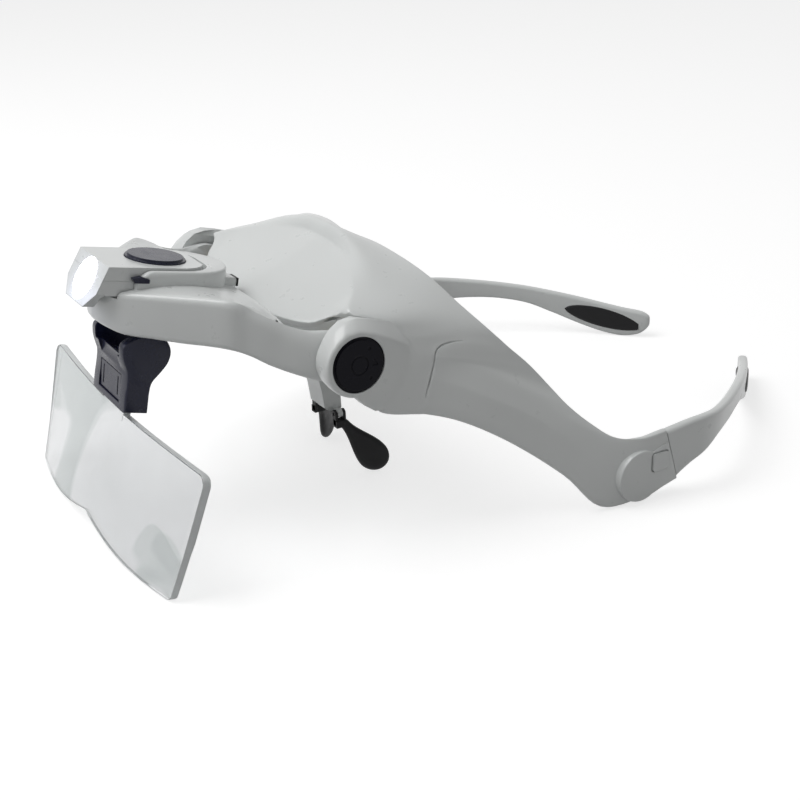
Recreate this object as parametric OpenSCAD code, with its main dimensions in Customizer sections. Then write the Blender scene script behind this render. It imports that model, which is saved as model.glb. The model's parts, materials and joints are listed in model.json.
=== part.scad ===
// Lighted headband magnifier, resting on its lens and leg tips.
// X runs to the wearer's left, Y backwards along the head, Z upwards. Millimetres.

/* [Lens] */
// Half width of the lens plate at its top corners
lens_top_half = 55; // [48:0.5:57]
// Half width of the lens plate at its bottom corners
lens_bottom_half = 49.8; // [44:0.1:52]
// Height of the lens plate's top edge above the table
lens_top_z = 34; // [32:0.5:34]
// Thickness of the lens plate
lens_t = 2.2; // [1.8:0.1:2.4]
// Backward lean of the lens plate at its middle, in degrees
lens_lean = 22.2; // [20:0.1:23]
// Width of the tab that slides into the clip
lens_tab_w = 15; // [10:1:15]

/* [Clip] */
// Width of the lens clip
clip_w = 24; // [22:0.5:25]
// Distance of the clip's hinge from the lens corners
clip_hinge_y = 14.5; // [14:0.1:15]
// Height of the clip's hinge above the table
clip_hinge_z = 53.5; // [53:0.1:53.7]
// Diameter of the clip's hinge pin
clip_pin_d = 2.4; // [2:0.1:2.6]

/* [Yoke] */
// Half width of the well that the lamp lies in
well_half = 11.2; // [11.1:0.1:11.4]
// Half width of the raised collar round the lamp
collar_half = 12.5; // [12.2:0.1:13]
// Slope of the covers under the yoke, in degrees
cover_lean = 7.4; // [6:0.2:8]

/* [Lamp] */
// Half width of the lamp
lamp_half = 10.8; // [10.2:0.1:10.9]
// Tilt of the lamp at rest, in degrees
lamp_tilt = 12; // [6:1:16]
// Diameter of the lamp's window
window_d = 11.6; // [9:0.2:12]
// Diameter of the switch button
button_d = 16; // [14:0.2:16.4]
// Diameter of a coin cell
cell_d = 16; // [14:0.5:16]

/* [Pivot] */
// Distance of the yoke's pivot from the lens corners
pivot_y = 53.7; // [53.4:0.1:54]
// Height of the yoke's pivot above the table
pivot_z = 52.1; // [51.8:0.1:52.4]
// Radius of the round boss on each side
boss_r = 9; // [8.8:0.1:9.4]
// Radius of the dark cap in the boss
cap_r = 7.4; // [6.5:0.1:7.6]
// Diameter of the pivot screw's shank
screw_d = 3; // [2.6:0.1:3.2]

/* [Frame] */
// Wall thickness of the frame shell
shell_t = 2.2; // [1.8:0.1:2.4]
// Thickness of a leg
leg_t = 3; // [2.6:0.1:3.2]
// Length of the dark pad in a leg's tip
leg_pad_l = 28; // [20:1:28]
// Height of the dark pad in a leg's tip
leg_pad_h = 7.2; // [5:0.2:7.4]

/* [Hidden] */

shell_colour = [0.86, 0.88, 0.87];
navy = [0.05, 0.06, 0.13];
rubber_black = [0.05, 0.05, 0.06];
steel = [0.7, 0.71, 0.73];
brass = [0.78, 0.62, 0.32];
clear = [0.8, 0.85, 0.85, 0.4];

centre_y = 104.15;     // shifts the origin under the middle of the model
fit = 0.03;            // radial clearance of a running fit
gap = 0.3;             // clearance between moving walls

pivot_x_in = 45.6;     // inner face of the boss
pivot_x_out = 52.5;    // its outer face
cap_x = pivot_x_out - 1.5;
head_x = pivot_x_out - 3.5;
screw_head_r = 3;
insert_r = 2.6;
arm_x_out = pivot_x_in - gap;
arm_x_in = arm_x_out - 5;
arm_r = 7.2;

// Stands a part designed from the lens corners over the model's origin.
module in_place() {
    translate([0, -centre_y, 0]) children();
}

// Both sides of something designed on the wearer's left.
module both_sides() {
    children();
    mirror([1, 0, 0]) children();
}

module right_of() {
    mirror([1, 0, 0]) children();
}

// A bar along X from x0 to x1, centred at y and z.
module bar(r, x0, x1, y, z, sides = 48) {
    translate([x0, y, z]) rotate([0, 90, 0]) cylinder(r = r, h = x1 - x0, $fn = sides);
}

// A side outline in Y and Z, carried along X from x0 to x1.
module side_plate(points, x0, x1) {
    translate([x0, 0, 0]) rotate([90, 0, 90]) linear_extrude(x1 - x0) polygon(points);
}

module block(low, high) {
    translate(low) cube(high - low);
}

// Smooth curves and sheets

function catmull(a, b, c, d, t) =
    0.5 * (2 * b + (c - a) * t + (2 * a - 5 * b + 4 * c - d) * t * t + (3 * b - a - 3 * c + d) * t * t * t);

function at_end(p, i) = p[max(0, min(len(p) - 1, i))];

function curve_at(p, u) =
    let (i = min(len(p) - 2, floor(u)), t = u - i)
    catmull(at_end(p, i - 1), p[i], p[i + 1], at_end(p, i + 2), t);

function curve(p, steps) = [for (i = [0:(len(p) - 1) * steps]) curve_at(p, i / steps)];

function unit(v) = v / max(norm(v), 1e-6);

function flip_x(p) = [-p[0], p[1], p[2]];

// Rows of the whole sheet, from the wearer's right to the left, out of rows of the left half.
function whole(half) =
    concat([for (i = [len(half) - 1:-1:1]) [for (p = half[i]) flip_x(p)]], half);

function normal_at(g, i, j) =
    let (a = g[min(i + 1, len(g) - 1)][j], b = g[max(i - 1, 0)][j],
         c = g[i][min(j + 1, len(g[0]) - 1)], d = g[i][max(j - 1, 0)])
    unit(cross(a - b, c - d));

// A sheet of stations and rows, thickened away from the side that its normals point to.
module sheet(g, thickness) {
    n = len(g);
    m = len(g[0]);
    inner = [for (i = [0:n - 1]) [for (j = [0:m - 1]) g[i][j] - thickness * normal_at(g, i, j)]];
    points = concat([for (s = g) each s], [for (s = inner) each s]);
    other = n * m;
    faces = concat(
        [for (i = [0:n - 2], j = [0:m - 2]) each [
            [i * m + j, i * m + j + 1, (i + 1) * m + j],
            [(i + 1) * m + j, i * m + j + 1, (i + 1) * m + j + 1],
            [other + i * m + j, other + (i + 1) * m + j, other + i * m + j + 1],
            [other + (i + 1) * m + j, other + (i + 1) * m + j + 1, other + i * m + j + 1]]],
        [for (i = [0:n - 2]) each [
            [i * m, (i + 1) * m, other + i * m],
            [(i + 1) * m, other + (i + 1) * m, other + i * m],
            [i * m + m - 1, other + i * m + m - 1, (i + 1) * m + m - 1],
            [(i + 1) * m + m - 1, other + i * m + m - 1, other + (i + 1) * m + m - 1]]],
        [for (j = [0:m - 2]) each [
            [j, other + j, j + 1],
            [j + 1, other + j, other + j + 1],
            [(n - 1) * m + j, (n - 1) * m + j + 1, other + (n - 1) * m + j],
            [(n - 1) * m + j + 1, other + (n - 1) * m + j + 1, other + (n - 1) * m + j]]]);
    polyhedron(points, faces, convexity = 8);
}

// A solid through closed sections that all have the same number of points.
module loft(sections) {
    n = len(sections);
    m = len(sections[0]);
    points = [for (s = sections) each s];
    faces = concat(
        [for (i = [0:n - 2], j = [0:m - 1]) each [
            [i * m + j, (i + 1) * m + j, i * m + (j + 1) % m],
            [(i + 1) * m + j, (i + 1) * m + (j + 1) % m, i * m + (j + 1) % m]]],
        [[for (j = [0:m - 1]) j]],
        [[for (j = [m - 1:-1:0]) (n - 1) * m + j]]);
    polyhedron(points, faces, convexity = 8);
}

// Frame shell: plate and side panels as one sheet

brow = [[0, 44, 58], [11, 44.6, 58], [23, 46.8, 58], [33, 50.3, 58.6], [39.5, 56, 60.5], [46.5, 61.5, 54.5],
    [50, 60, 46.5], [52, 60, 38], [55, 72.5, 35], [58.5, 82.5, 31], [63, 95, 23],
    [67.7, 107.5, 12.5], [71.6, 117, 2], [73.5, 130, 2], [74.2, 141.2, 4.8]];
crease = [[0, 71, 69.5], [11, 70.8, 69], [23, 67.6, 67.7], [34.5, 62.3, 65.2], [42.4, 56.9, 62.6], [46.5, 63, 58.5],
    [49.5, 65.5, 52], [52.5, 67.5, 45], [55, 77, 42.8], [58.8, 87, 37.6], [63.4, 100, 29.6],
    [68, 111, 20], [71.8, 119.5, 8.8], [73.7, 131, 7.4], [74.2, 140, 9.2]];
shoulder = [[0, 73.6, 73.2], [11.3, 73.5, 72.6], [24, 72.3, 69.7], [36.5, 69.8, 65.3], [47, 67.8, 61.2],
    [50.5, 70.5, 56.6], [52, 72.5, 53], [53.3, 75.5, 49.7], [55.3, 85, 45.7], [58.8, 94, 39.6], [63.5, 105, 31],
    [68.2, 115, 23], [71.8, 122.5, 16.5], [73.7, 131, 14.5], [74.2, 138.4, 14.3]];
rim = [[0, 79.6, 69.4], [12, 81.2, 69.6], [24.5, 82.4, 68.3], [36.5, 84.2, 65.3], [46, 87.3, 59.9], [52.5, 91.5, 54.3],
    [55.6, 97, 48], [57.5, 102, 42.7], [60, 107, 36.2], [63.7, 111, 30.5], [67, 116, 25.3],
    [70.2, 121.5, 21], [72.6, 128, 19.5], [73.9, 133, 19.6], [74.2, 136.8, 19.9]];
shell_steps = 2;

function shell_half() =
    let (b = curve(brow, shell_steps), c = curve(crease, shell_steps),
         s = curve(shoulder, shell_steps), r = curve(rim, shell_steps))
    [for (i = [0:len(b) - 1])
        let (bend = curve([c[i], s[i], r[i]], 2))
        concat([b[i], (b[i] + c[i]) / 2], bend)];

socket_y = 128.6;
socket_z = 8.6;
socket_r = 7.6;
socket_low = [69.4, 126.5, 4.8];
socket_high = [74.4, 142, 17.2];
tongue_low = [71.2, 127.5, 7];
tongue_high = [73, 141, 15.8];
latch_low = [72.3, 132, 9.1];
latch_high = [74.9, 137.4, 14.5];
latch_wall = 0.25;
latch_round = 0.9;
seam_back = 0.29;      // how far the seam runs back for each millimetre down

cheek = [[53.7, 61], [58.5, 60], [63.5, 57], [70, 54], [74, 50.5], [74, 40], [68, 36], [58.8, 37.6], [54.5, 42.5]];
cheek_x = [pivot_x_in + 2.6, pivot_x_out - 0.4];

module seam_cut(side) {
    // Everything behind the slanted seam when side is 1, everything in front when it is -1.
    translate([60, 136.8, 19.9]) rotate([atan(seam_back), 0, 0])
        translate([0, side > 0 ? 0 : -80, -40]) cube([30, 80, 80]);
}

module frame_shell() {
    color(shell_colour) in_place() difference() {
        union() {
            sheet(whole(shell_half()), shell_t);
            both_sides() {
                bar(boss_r, pivot_x_in, pivot_x_out, pivot_y, pivot_z, 64);
                side_plate(cheek, cheek_x[0], cheek_x[1]);
                difference() {
                    union() {
                        bar(socket_r, socket_low[0], socket_high[0], socket_y, socket_z, 48);
                        block(socket_low, socket_high);
                    }
                    seam_cut(1);
                }
            }
            block([-5, 47, 55.6], [5, 53, 60.2]);
        }
        both_sides() {
            bar(screw_d / 2 + 0.1, pivot_x_in - 5, 62, pivot_y, pivot_z);
            bar(cap_r + 0.1, cap_x, 62, pivot_y, pivot_z, 64);
            bar(screw_head_r + 0.15, head_x, 62, pivot_y, pivot_z);
            block(tongue_low - [0.15, 0.4, 0.15], tongue_high + [0.15, 5, 0.15]);
            key(latch_low - [0, 1, 1] * latch_wall, latch_high + [5, latch_wall, latch_wall], latch_round + latch_wall);
        }
        translate([0, bridge_y, 40]) cylinder(r = bridge_screw_d / 2, h = 19.6, $fn = 32);
        block([-5.2, 46.5, 50], [5.2, 53.5, 57]);
    }
}

// Pivots

module pivot_screw_left() {
    color(steel) in_place() difference() {
        union() {
            bar(screw_d / 2, arm_x_in + 0.4, head_x + 0.5, pivot_y, pivot_z);
            bar(screw_head_r, head_x, cap_x - 0.2, pivot_y, pivot_z);
        }
        block([cap_x - 1, pivot_y - 2.4, pivot_z - 0.4], [cap_x, pivot_y + 2.4, pivot_z + 0.4]);
        block([cap_x - 1, pivot_y - 0.4, pivot_z - 2.4], [cap_x, pivot_y + 0.4, pivot_z + 2.4]);
    }
}
module pivot_screw_right() right_of() pivot_screw_left();

module pivot_cap_left() {
    ring_r = 2.6;
    ring_w = 0.5;
    mark = 0.25;
    color(navy) in_place() difference() {
        union() {
            bar(cap_r, cap_x, pivot_x_out - 0.3, pivot_y, pivot_z, 64);
            bar(cap_r - 0.7, cap_x + 0.5, pivot_x_out + 0.3, pivot_y, pivot_z, 64);
        }
        difference() {
            bar(ring_r, pivot_x_out + 0.3 - mark, 54, pivot_y, pivot_z);
            bar(ring_r - ring_w, pivot_x_out - 1, 55, pivot_y, pivot_z);
        }
        translate([0, pivot_y + 4.4, pivot_z]) side_plate([[-1, -0.9], [1, -0.9], [0, 0.9]], pivot_x_out + 0.3 - mark, 54);
        for (side = [-1, 1])
            bar(0.45, pivot_x_out + 0.3 - mark, 54, pivot_y + 3, pivot_z + side * 4, 16);
    }
}
module pivot_cap_right() right_of() pivot_cap_left();

module pivot_washer_left() {
    color(steel) in_place() difference() {
        bar(5.4, arm_x_out - 0.2, pivot_x_in - 0.01, pivot_y, pivot_z);
        bar(screw_d / 2 + 0.2, arm_x_in, pivot_x_out, pivot_y, pivot_z);
    }
}
module pivot_washer_right() right_of() pivot_washer_left();

module pivot_insert_left() {
    color(brass) in_place() difference() {
        bar(insert_r, arm_x_in + 0.2, arm_x_out - 0.6, pivot_y, pivot_z);
        bar(screw_d / 2 + fit, arm_x_in, arm_x_out, pivot_y, pivot_z);
    }
}
module pivot_insert_right() right_of() pivot_insert_left();

// Legs

// Outer face of the left leg: x, y, low and high edge
leg_line = [[74.2, 139, 4.9, 20], [74.3, 146, 7.6, 20.9], [74, 152, 9.9, 21], [71.8, 158.5, 12.4, 20.3],
    [67, 166.7, 12.9, 19.3], [61.5, 174.5, 12.5, 18.3], [55.5, 182.2, 10.9, 17], [49.5, 189.2, 7.6, 15.4],
    [43.5, 195.8, 4.1, 13.7], [37.5, 202, 1.3, 11.9], [32, 207.4, 0, 10.4], [27.6, 211.4, 0.9, 9.6],
    [24.4, 214.2, 3.3, 8.8]];
leg_pad_at = 9;        // place of the pad along the leg's line
leg_edge = 0.8;

function leg_section(p, q, scale = 1) =
    let (along = unit([q[0], q[1]] ), inward = [along[1], -along[0]] * -1,
         t = leg_t * scale, e = min(leg_edge, t / 3), lo = p[2], hi = p[3])
    [for (s = [[0, lo + e], [e, lo], [t - e, lo], [t, lo + e], [t, hi - e], [t - e, hi], [e, hi], [0, hi - e]])
        [p[0] + inward[0] * s[0], p[1] + inward[1] * s[0], s[1]]];

function leg_dir(line, i) =
    let (a = line[max(0, i - 1)], b = line[min(len(line) - 1, i + 1)]) [b[0] - a[0], b[1] - a[1]];

module leg_left() {
    line = curve(leg_line, 2);
    last = len(line) - 1;
    color(shell_colour) in_place() difference() {
        union() {
            loft([for (i = [0:last]) leg_section(line[i], leg_dir(line, i), i == last ? 0.6 : 1)]);
            block([71.2, 136.5, 5.4], [74.2, 141.5, 19.4]);
            block(tongue_low, tongue_high);
        }
        difference() {
            translate([0, 0.2, 0]) seam_cut(-1);
            block(tongue_low - [0.1, 1, 0], tongue_high + [0.1, 3, 0]);
        }
        block(latch_low - [5, 0.3, 0.3], latch_high + [5, 0.3, 0.3]);
        leg_pad_hole(0.01);
    }
}
module leg_right() right_of() leg_left();

leg_pad_shift = 1.2;   // how far the pad's middle lies past its place

// Pointed oval through the leg's tip, square to its face.
module leg_pad_hole(grow) {
    p = leg_line[leg_pad_at];
    d = leg_dir(leg_line, leg_pad_at);
    along = unit(d) * leg_pad_shift;
    slope = atan2(leg_line[leg_pad_at + 1][3] - leg_line[leg_pad_at - 1][3], norm(d));
    big = (pow(leg_pad_l / 2, 2) + pow(leg_pad_h / 2, 2)) / leg_pad_h;
    translate([p[0] + along[0], p[1] + along[1], (p[2] + p[3]) / 2])
        rotate([0, 0, atan2(d[1], d[0])]) rotate([0, -slope, 0]) intersection() {
            translate([0, -8, leg_pad_h / 2 - big]) rotate([-90, 0, 0]) cylinder(r = big + grow, h = 16, $fn = 160);
            translate([0, -8, big - leg_pad_h / 2]) rotate([-90, 0, 0]) cylinder(r = big + grow, h = 16, $fn = 160);
        }
}

module leg_pad_left() {
    line = curve(leg_line, 2);
    last = len(line) - 1;
    color(rubber_black) in_place() intersection() {
        leg_pad_hole(0);
        loft([for (i = [0:last])
            let (s = line[i], d = unit(leg_dir(line, i)), out = [d[1], -d[0]] * 0.7)
            leg_section([s[0] + out[0], s[1] + out[1], s[2] - 1, s[3] + 1], leg_dir(line, i), (leg_t + 1.4) / leg_t)]);
    }
}
module leg_pad_right() right_of() leg_pad_left();

// A block with its four edges along X rounded.
module key(low, high, r) {
    block([low[0], low[1] + r, low[2]], [high[0], high[1] - r, high[2]]);
    block([low[0], low[1], low[2] + r], [high[0], high[1], high[2] - r]);
    for (y = [low[1] + r, high[1] - r], z = [low[2] + r, high[2] - r]) bar(r, low[0], high[0], y, z, 24);
}

module leg_latch_left() {
    mid_y = (latch_low[1] + latch_high[1]) / 2;
    mid_z = (latch_low[2] + latch_high[2]) / 2;
    color(shell_colour) in_place() difference() {
        key(latch_low, latch_high, latch_round);
        block([latch_low[0] - 1, mid_y - 2, mid_z - 2], [latch_low[0] + 1.3, mid_y + 2, mid_z + 2]);
    }
}
module leg_latch_right() right_of() leg_latch_left();

module leg_spring_left() {
    mid = (latch_low[1] + latch_high[1]) / 2;
    color(steel) in_place() translate([0, mid, latch_low[2] + 1.2]) linear_extrude(3)
        polygon([[71.06, -1.8], [71.26, -1.8], [72.35, -0.5], [72.35, 0.5], [71.26, 1.8], [71.06, 1.8],
            [72.1, 0.4], [72.1, -0.4]]);
}
module leg_spring_right() right_of() leg_spring_left();

// Nose bridge and pads

bridge_y = 50;
bridge_screw_d = 2.2;
bridge_side = [[46.6, 57], [53.4, 57], [53.8, 55.6], [60, 52.5], [66.5, 44], [70.6, 33], [72.8, 24], [73, 18.2],
    [70.5, 16.6], [67.6, 19], [66.8, 25], [65, 33.5], [61.4, 42], [56.5, 48.5], [51.5, 52.4], [46.6, 53.4]];
pad_top = [7.4, 72.2, 14.2];
pad_lobe = [14.2, 77.4, 5.4];
pad_lobe_r = 4.9;
pad_splay = 50;        // turn of the pads about the vertical
axle_r = 0.55;
axle_at = [6.2, 71.1, 17.4];
lug_half = 0.8;
ear_w = 0.75;

module along_y(r, y0, y1, x, z, sides = 32) {
    translate([x, y0, z]) rotate([-90, 0, 0]) cylinder(r = r, h = y1 - y0, $fn = sides);
}

module axle_bore(grow) {
    along_y(axle_r + grow, axle_at[1] - 4, axle_at[1] + 4, axle_at[0], axle_at[2]);
}

module nose_bridge() {
    color(shell_colour) in_place() difference() {
        union() {
            side_plate(bridge_side, -4.5, 4.5);
            both_sides() difference() {
                union() {
                    along_y(1.2, axle_at[1] - lug_half, axle_at[1] + lug_half, axle_at[0], axle_at[2]);
                    block([4, axle_at[1] - lug_half, axle_at[2] - 1.2], [axle_at[0], axle_at[1] + lug_half, axle_at[2] + 1.2]);
                }
                axle_bore(0);
            }
        }
        translate([0, bridge_y, 40]) cylinder(r = bridge_screw_d / 2 + 0.1, h = 30, $fn = 32);
        translate([0, bridge_y, 40]) cylinder(r = 2.2, h = 14.6, $fn = 32);
        block([-2.2, 55, 30], [2.2, 62, 48.5]);
    }
}

module nose_bridge_screw() {
    color(steel) in_place() difference() {
        union() {
            translate([0, bridge_y, 54.6]) cylinder(r = bridge_screw_d / 2, h = 4.8, $fn = 32);
            translate([0, bridge_y, 53.4]) cylinder(r = 2, h = 1.2, $fn = 32);
        }
        block([-1.6, bridge_y - 0.3, 53], [1.6, bridge_y + 0.3, 54]);
    }
}

// A disc of the nose pad, square to its face.
module pad_disc(at, r, t) {
    translate(at) rotate([-90, 0, pad_splay]) translate([0, 0, -t / 2]) cylinder(r = r, h = t, $fn = 32);
}

// Pad on the wearer's left, with the two ears that its axle passes through.
module nose_pad_left() {
    color(rubber_black) in_place() difference() {
        union() {
            hull() {
                pad_disc(pad_top, 1.7, 1.8);
                pad_disc(pad_lobe, pad_lobe_r, 1.8);
                pad_disc(pad_lobe + [0.4, 0.3, 0.5], pad_lobe_r - 1.1, 3);
            }
            for (side = [-1, 1]) {
                near = axle_at[1] + side * (lug_half + 0.15);
                far = near + side * ear_w;
                along_y(1.2, min(near, far), max(near, far), axle_at[0], axle_at[2]);
                block([axle_at[0] - 0.4, min(near, far), pad_top[2] - 0.6], [axle_at[0] + 1.2, max(near, far), axle_at[2]]);
            }
            block([axle_at[0] - 0.4, axle_at[1] - lug_half - ear_w - 0.15, pad_top[2] - 0.8],
                [axle_at[0] + 1.8, axle_at[1] + lug_half + ear_w + 0.15, pad_top[2] + 1.4]);
        }
        axle_bore(fit);
        block([0, axle_at[1] - lug_half - 0.15, 15.9], [12, axle_at[1] + lug_half + 0.15, 20]);
    }
}
module nose_pad_right() right_of() nose_pad_left();

module nose_pad_axle_left() {
    reach = lug_half + 0.15 + ear_w;
    color(steel) in_place() along_y(axle_r, axle_at[1] - reach, axle_at[1] + reach, axle_at[0], axle_at[2]);
}
module nose_pad_axle_right() right_of() nose_pad_axle_left();

// Yoke

// Sections of the yoke's left half: x, front low, front high, rear, then the heights of the
// bottom's front, the bottom's rear, the top's front and the top's rear, and the corner
yoke_line = [[0, 3.3, 3.9, 43, 59, 54.6, 68.6, 61.9, 1.6], [6, 4.2, 4.8, 43, 58.6, 54.6, 68.8, 61.9, 1.6],
    [12, 6.9, 7.4, 43, 57.7, 54.6, 69.1, 61.9, 1.6], [18, 12.1, 12.5, 43, 57.2, 54.4, 69.2, 61.9, 1.7],
    [24, 17.9, 18.2, 42.9, 56.5, 54.2, 69.1, 61.8, 1.8], [29, 22.7, 23, 42.8, 56.2, 54, 69, 61.5, 1.9],
    [33.7, 27.3, 27.6, 42.7, 55.4, 53.7, 68.4, 60.9, 2.1], [35.8, 31.1, 31.3, 43.4, 53.5, 52.5, 65.8, 60.1, 2.3],
    [38, 34.4, 34.5, 44.5, 51.2, 50.8, 63.6, 59.3, 2.6], [40.2, 38.1, 38.1, 46.5, 49, 49, 61.4, 58.5, 3.2],
    [42.3, 41.1, 41.1, 53, 47.2, 47.2, 59.9, 59.2, 4.6], [43.9, 44, 44, 57.5, 45.6, 45.6, 59.6, 59.4, 6.2],
    [arm_x_out, 46.5, 46.5, 60.9, 44.9, 44.9, 59.3, 59.3, 7.1]];
corner_steps = 4;
deck_crown = 0.07;     // rise of the deck's middle for each millimetre of its depth

function corner(y, z, r, a) =
    [for (k = [0:corner_steps - 1]) let (b = a + 90 * k / (corner_steps - 1)) [y + r * cos(b), z + r * sin(b)]];

function yoke_section(s) =
    let (r = s[8], rear = s[3] - r, front = s[2] + r, rise = deck_crown * (rear - front) * 4)
    [for (p = concat(
        corner(rear, s[5] + r, r, -90), corner(rear, s[7] - r, r, 0),
        [for (u = [0.25, 0.5, 0.75]) [rear + (front - rear) * u, s[7] + (s[6] - s[7]) * u + rise * u * (1 - u)]],
        corner(front, s[6] - r, r, 90), corner(s[1] + r, s[4] + r, r, 180)))
        [s[0], p[0], p[1]]];

function yoke_side() = curve(yoke_line, 2);

function yoke_sections() =
    let (half = yoke_side())
    concat([for (i = [len(half) - 1:-1:1]) [for (p = yoke_section(half[i])) flip_x(p)]],
        [for (s = half) yoke_section(s)]);

// The collar, the well and the latch block follow the lamp, in its frame: v backwards and w upwards.
well_rear = -2.5;
well_floor = -4.15;
collar_mid = -8.3;
collar_top = 3.4;
collar_side = [[collar_mid, collar_top], [-21.5, collar_top], [-25, 1], [-25, -6], [collar_mid, -6]];
stop_side = [[-26.2, 1.5], [-24, 2.1], [-21.6, 1.4], [-21.6, 0.4], [-25.6, 0.4]];
catch_low = [-3, 2, -4.5];
catch_high = [3, 7.5, -0.3];
bumper_low = [-2.2, 6.7, -2.9];
bumper_high = [2.2, 8.6, -0.7];

pocket = [[14.2, 11.4], [19, 14.6], [24.4, 19.8], [31, 27], [36, 34], [36.6, 40], [30, 41], [16.5, 41], [14.2, 34]];
pocket_at = [26, 56.85];
pocket_h = 6;
post_h = 7;
cover_t = 1.2;
cover_spots = [[20, 20], [33, 36]];

// Frame of the covers under the yoke.
module at_cover() {
    translate([0, pocket_at[0], pocket_at[1]]) rotate([-cover_lean, 0, 0]) translate([0, -pocket_at[0], 0]) children();
}

module yoke_shell() {
    color(shell_colour) in_place() difference() {
        union() {
            loft(yoke_sections());
            both_sides() bar(arm_r, arm_x_out - 2.4, arm_x_out, pivot_y, pivot_z, 64);
            at_lamp() {
                translate([0, collar_mid, -8]) cylinder(r = collar_half, h = collar_top + 8, $fn = 64);
                side_plate(collar_side, -collar_half, collar_half);
                block(catch_low, catch_high);
            }
            both_sides() side_plate([[11.5, 59], [17.5, 59], [17, 52.6], [15.6, 51], [13.4, 51], [12, 52.6]], 5.2, 8.4);
        }
        at_lamp() {
            intersection() {
                block([-well_half, -50, well_floor], [well_half, well_rear, 20]);
                round_plan(well_half, well_rear, lamp_round + gap);
            }
            block(bumper_low, bumper_high + [0, 2, 0]);
            bar(lamp_pin_d / 2, -collar_half + 0.4, collar_half - 0.4, lamp_pin_at[0], lamp_pin_at[1]);
            both_sides() side_plate(stop_side, well_half - 1, collar_half + 1);
        }
        both_sides() {
            at_cover() {
                difference() {
                    translate([0, 0, -20]) linear_extrude(pocket_h + 20) polygon(pocket);
                    for (p = cover_spots) translate([p[0], p[1], cover_t]) cylinder(r = 2.2, h = 10, $fn = 32);
                }
                for (p = cover_spots) translate([p[0], p[1], -10]) cylinder(r = 1, h = post_h + 10, $fn = 32);
            }
            bar(insert_r, arm_x_in + 0.2, 50, pivot_y, pivot_z);
            bar(5.6, arm_x_out - 0.6, 50, pivot_y, pivot_z);
        }
        bar(clip_pin_d / 2, -20, 20, clip_hinge_y, clip_hinge_z);
    }
}

module yoke_covers() {
    color(shell_colour) in_place() both_sides() at_cover() difference() {
        intersection() {
            linear_extrude(cover_t) polygon(pocket);
            translate([0.1, 0.25, 0]) linear_extrude(cover_t) polygon(pocket);
            translate([0.1, -0.25, 0]) linear_extrude(cover_t) polygon(pocket);
        }
        for (p = cover_spots) translate([p[0], p[1], -5]) cylinder(r = 1.1, h = 20, $fn = 32);
    }
}

module yoke_screws() {
    color(steel) in_place() both_sides() at_cover() for (p = cover_spots) {
        translate([p[0], p[1], -0.9]) cylinder(r = 1.7, h = 0.9, $fn = 32);
        translate([p[0], p[1], -0.5]) cylinder(r = 1, h = post_h + 0.3, $fn = 32);
    }
}

module flip_bumper() {
    color(rubber_black) in_place() at_lamp() block(bumper_low, bumper_high);
}

module tilt_stops() {
    color(navy) in_place() at_lamp() both_sides() side_plate(stop_side, well_half, collar_half + 0.35);
}

clip_pin_half = clip_w / 2 - 1.2;

module clip_pin() {
    color(steel) in_place() bar(clip_pin_d / 2, -clip_pin_half, clip_pin_half, clip_hinge_y, clip_hinge_z);
}

module clip_friction_spring() {
    color(steel) in_place() translate([0, clip_hinge_y, clip_hinge_z]) rotate([0, 90, 0]) difference() {
        translate([0, 0, -5]) cylinder(r = clip_pin_d / 2 + 0.5, h = 10, $fn = 40);
        translate([0, 0, -6]) cylinder(r = clip_pin_d / 2, h = 12, $fn = 40);
        translate([0, -0.5, -6]) cube([4, 1, 12]);
    }
}

// Lamp, designed lying flat with its front towards -Y: v backwards and w upwards

lamp_at = [36.5, 65.5];
lamp_pin_at = [-5.8, -0.2];
lamp_pin_d = 2;
lamp_top_w = 4;
lamp_low_w = -3.6;
lamp_split_w = 0.4;
lamp_rear = -3.6;
lamp_round = 8;        // radius of the rear corners in plan
lamp_wall = 1.1;
face_top = -32;        // place of the face's top edge
face_low = -36.6;      // place of its bottom edge
chin_w = -7.6;
chin_half = 6.4;
button_y = -15.4;
window_y = -34;
window_w = -1.6;
face_lean = atan2(face_top - face_low, lamp_top_w - chin_w);

module at_lamp() {
    translate([0, lamp_at[0], lamp_at[1]]) rotate([-lamp_tilt, 0, 0]) children();
}

module lamp_place() {
    in_place() at_lamp() children();
}

lamp_side = [[lamp_rear, lamp_top_w - 0.8], [lamp_rear - 0.8, lamp_top_w], [face_top, lamp_top_w], [face_low, chin_w],
    [face_low + 3.2, chin_w], [face_low + 3.4, lamp_low_w - 1], [face_low + 4.2, lamp_low_w],
    [lamp_rear - 0.6, lamp_low_w], [lamp_rear, lamp_low_w + 0.6]];

// Space with straight sides and two rounded rear corners.
module round_plan(half, rear, r) {
    block([-half, -50, -20], [half, rear - r, 20]);
    block([r - half, -50, -20], [half - r, rear, 20]);
    both_sides() translate([half - r, rear - r, -20]) cylinder(r = r, h = 40, $fn = 64);
}

module lamp_plan(inset) {
    round_plan(lamp_half - inset, lamp_rear - inset, lamp_round - inset);
}

// Slanted corners below the lamp's face.
module chin_corners() {
    rise = lamp_half + 2 - chin_half;
    both_sides() translate([0, face_low + 4.2, 0]) rotate([90, 0, 0]) linear_extrude(10)
        polygon([[chin_half - 1, chin_w - 1], [lamp_half + 1, chin_w - 1], [lamp_half + 1, chin_w - 1 + rise]]);
}

module lamp_outer() {
    difference() {
        intersection() {
            lamp_plan(0);
            side_plate(lamp_side, -20, 20);
        }
        chin_corners();
    }
}

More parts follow.
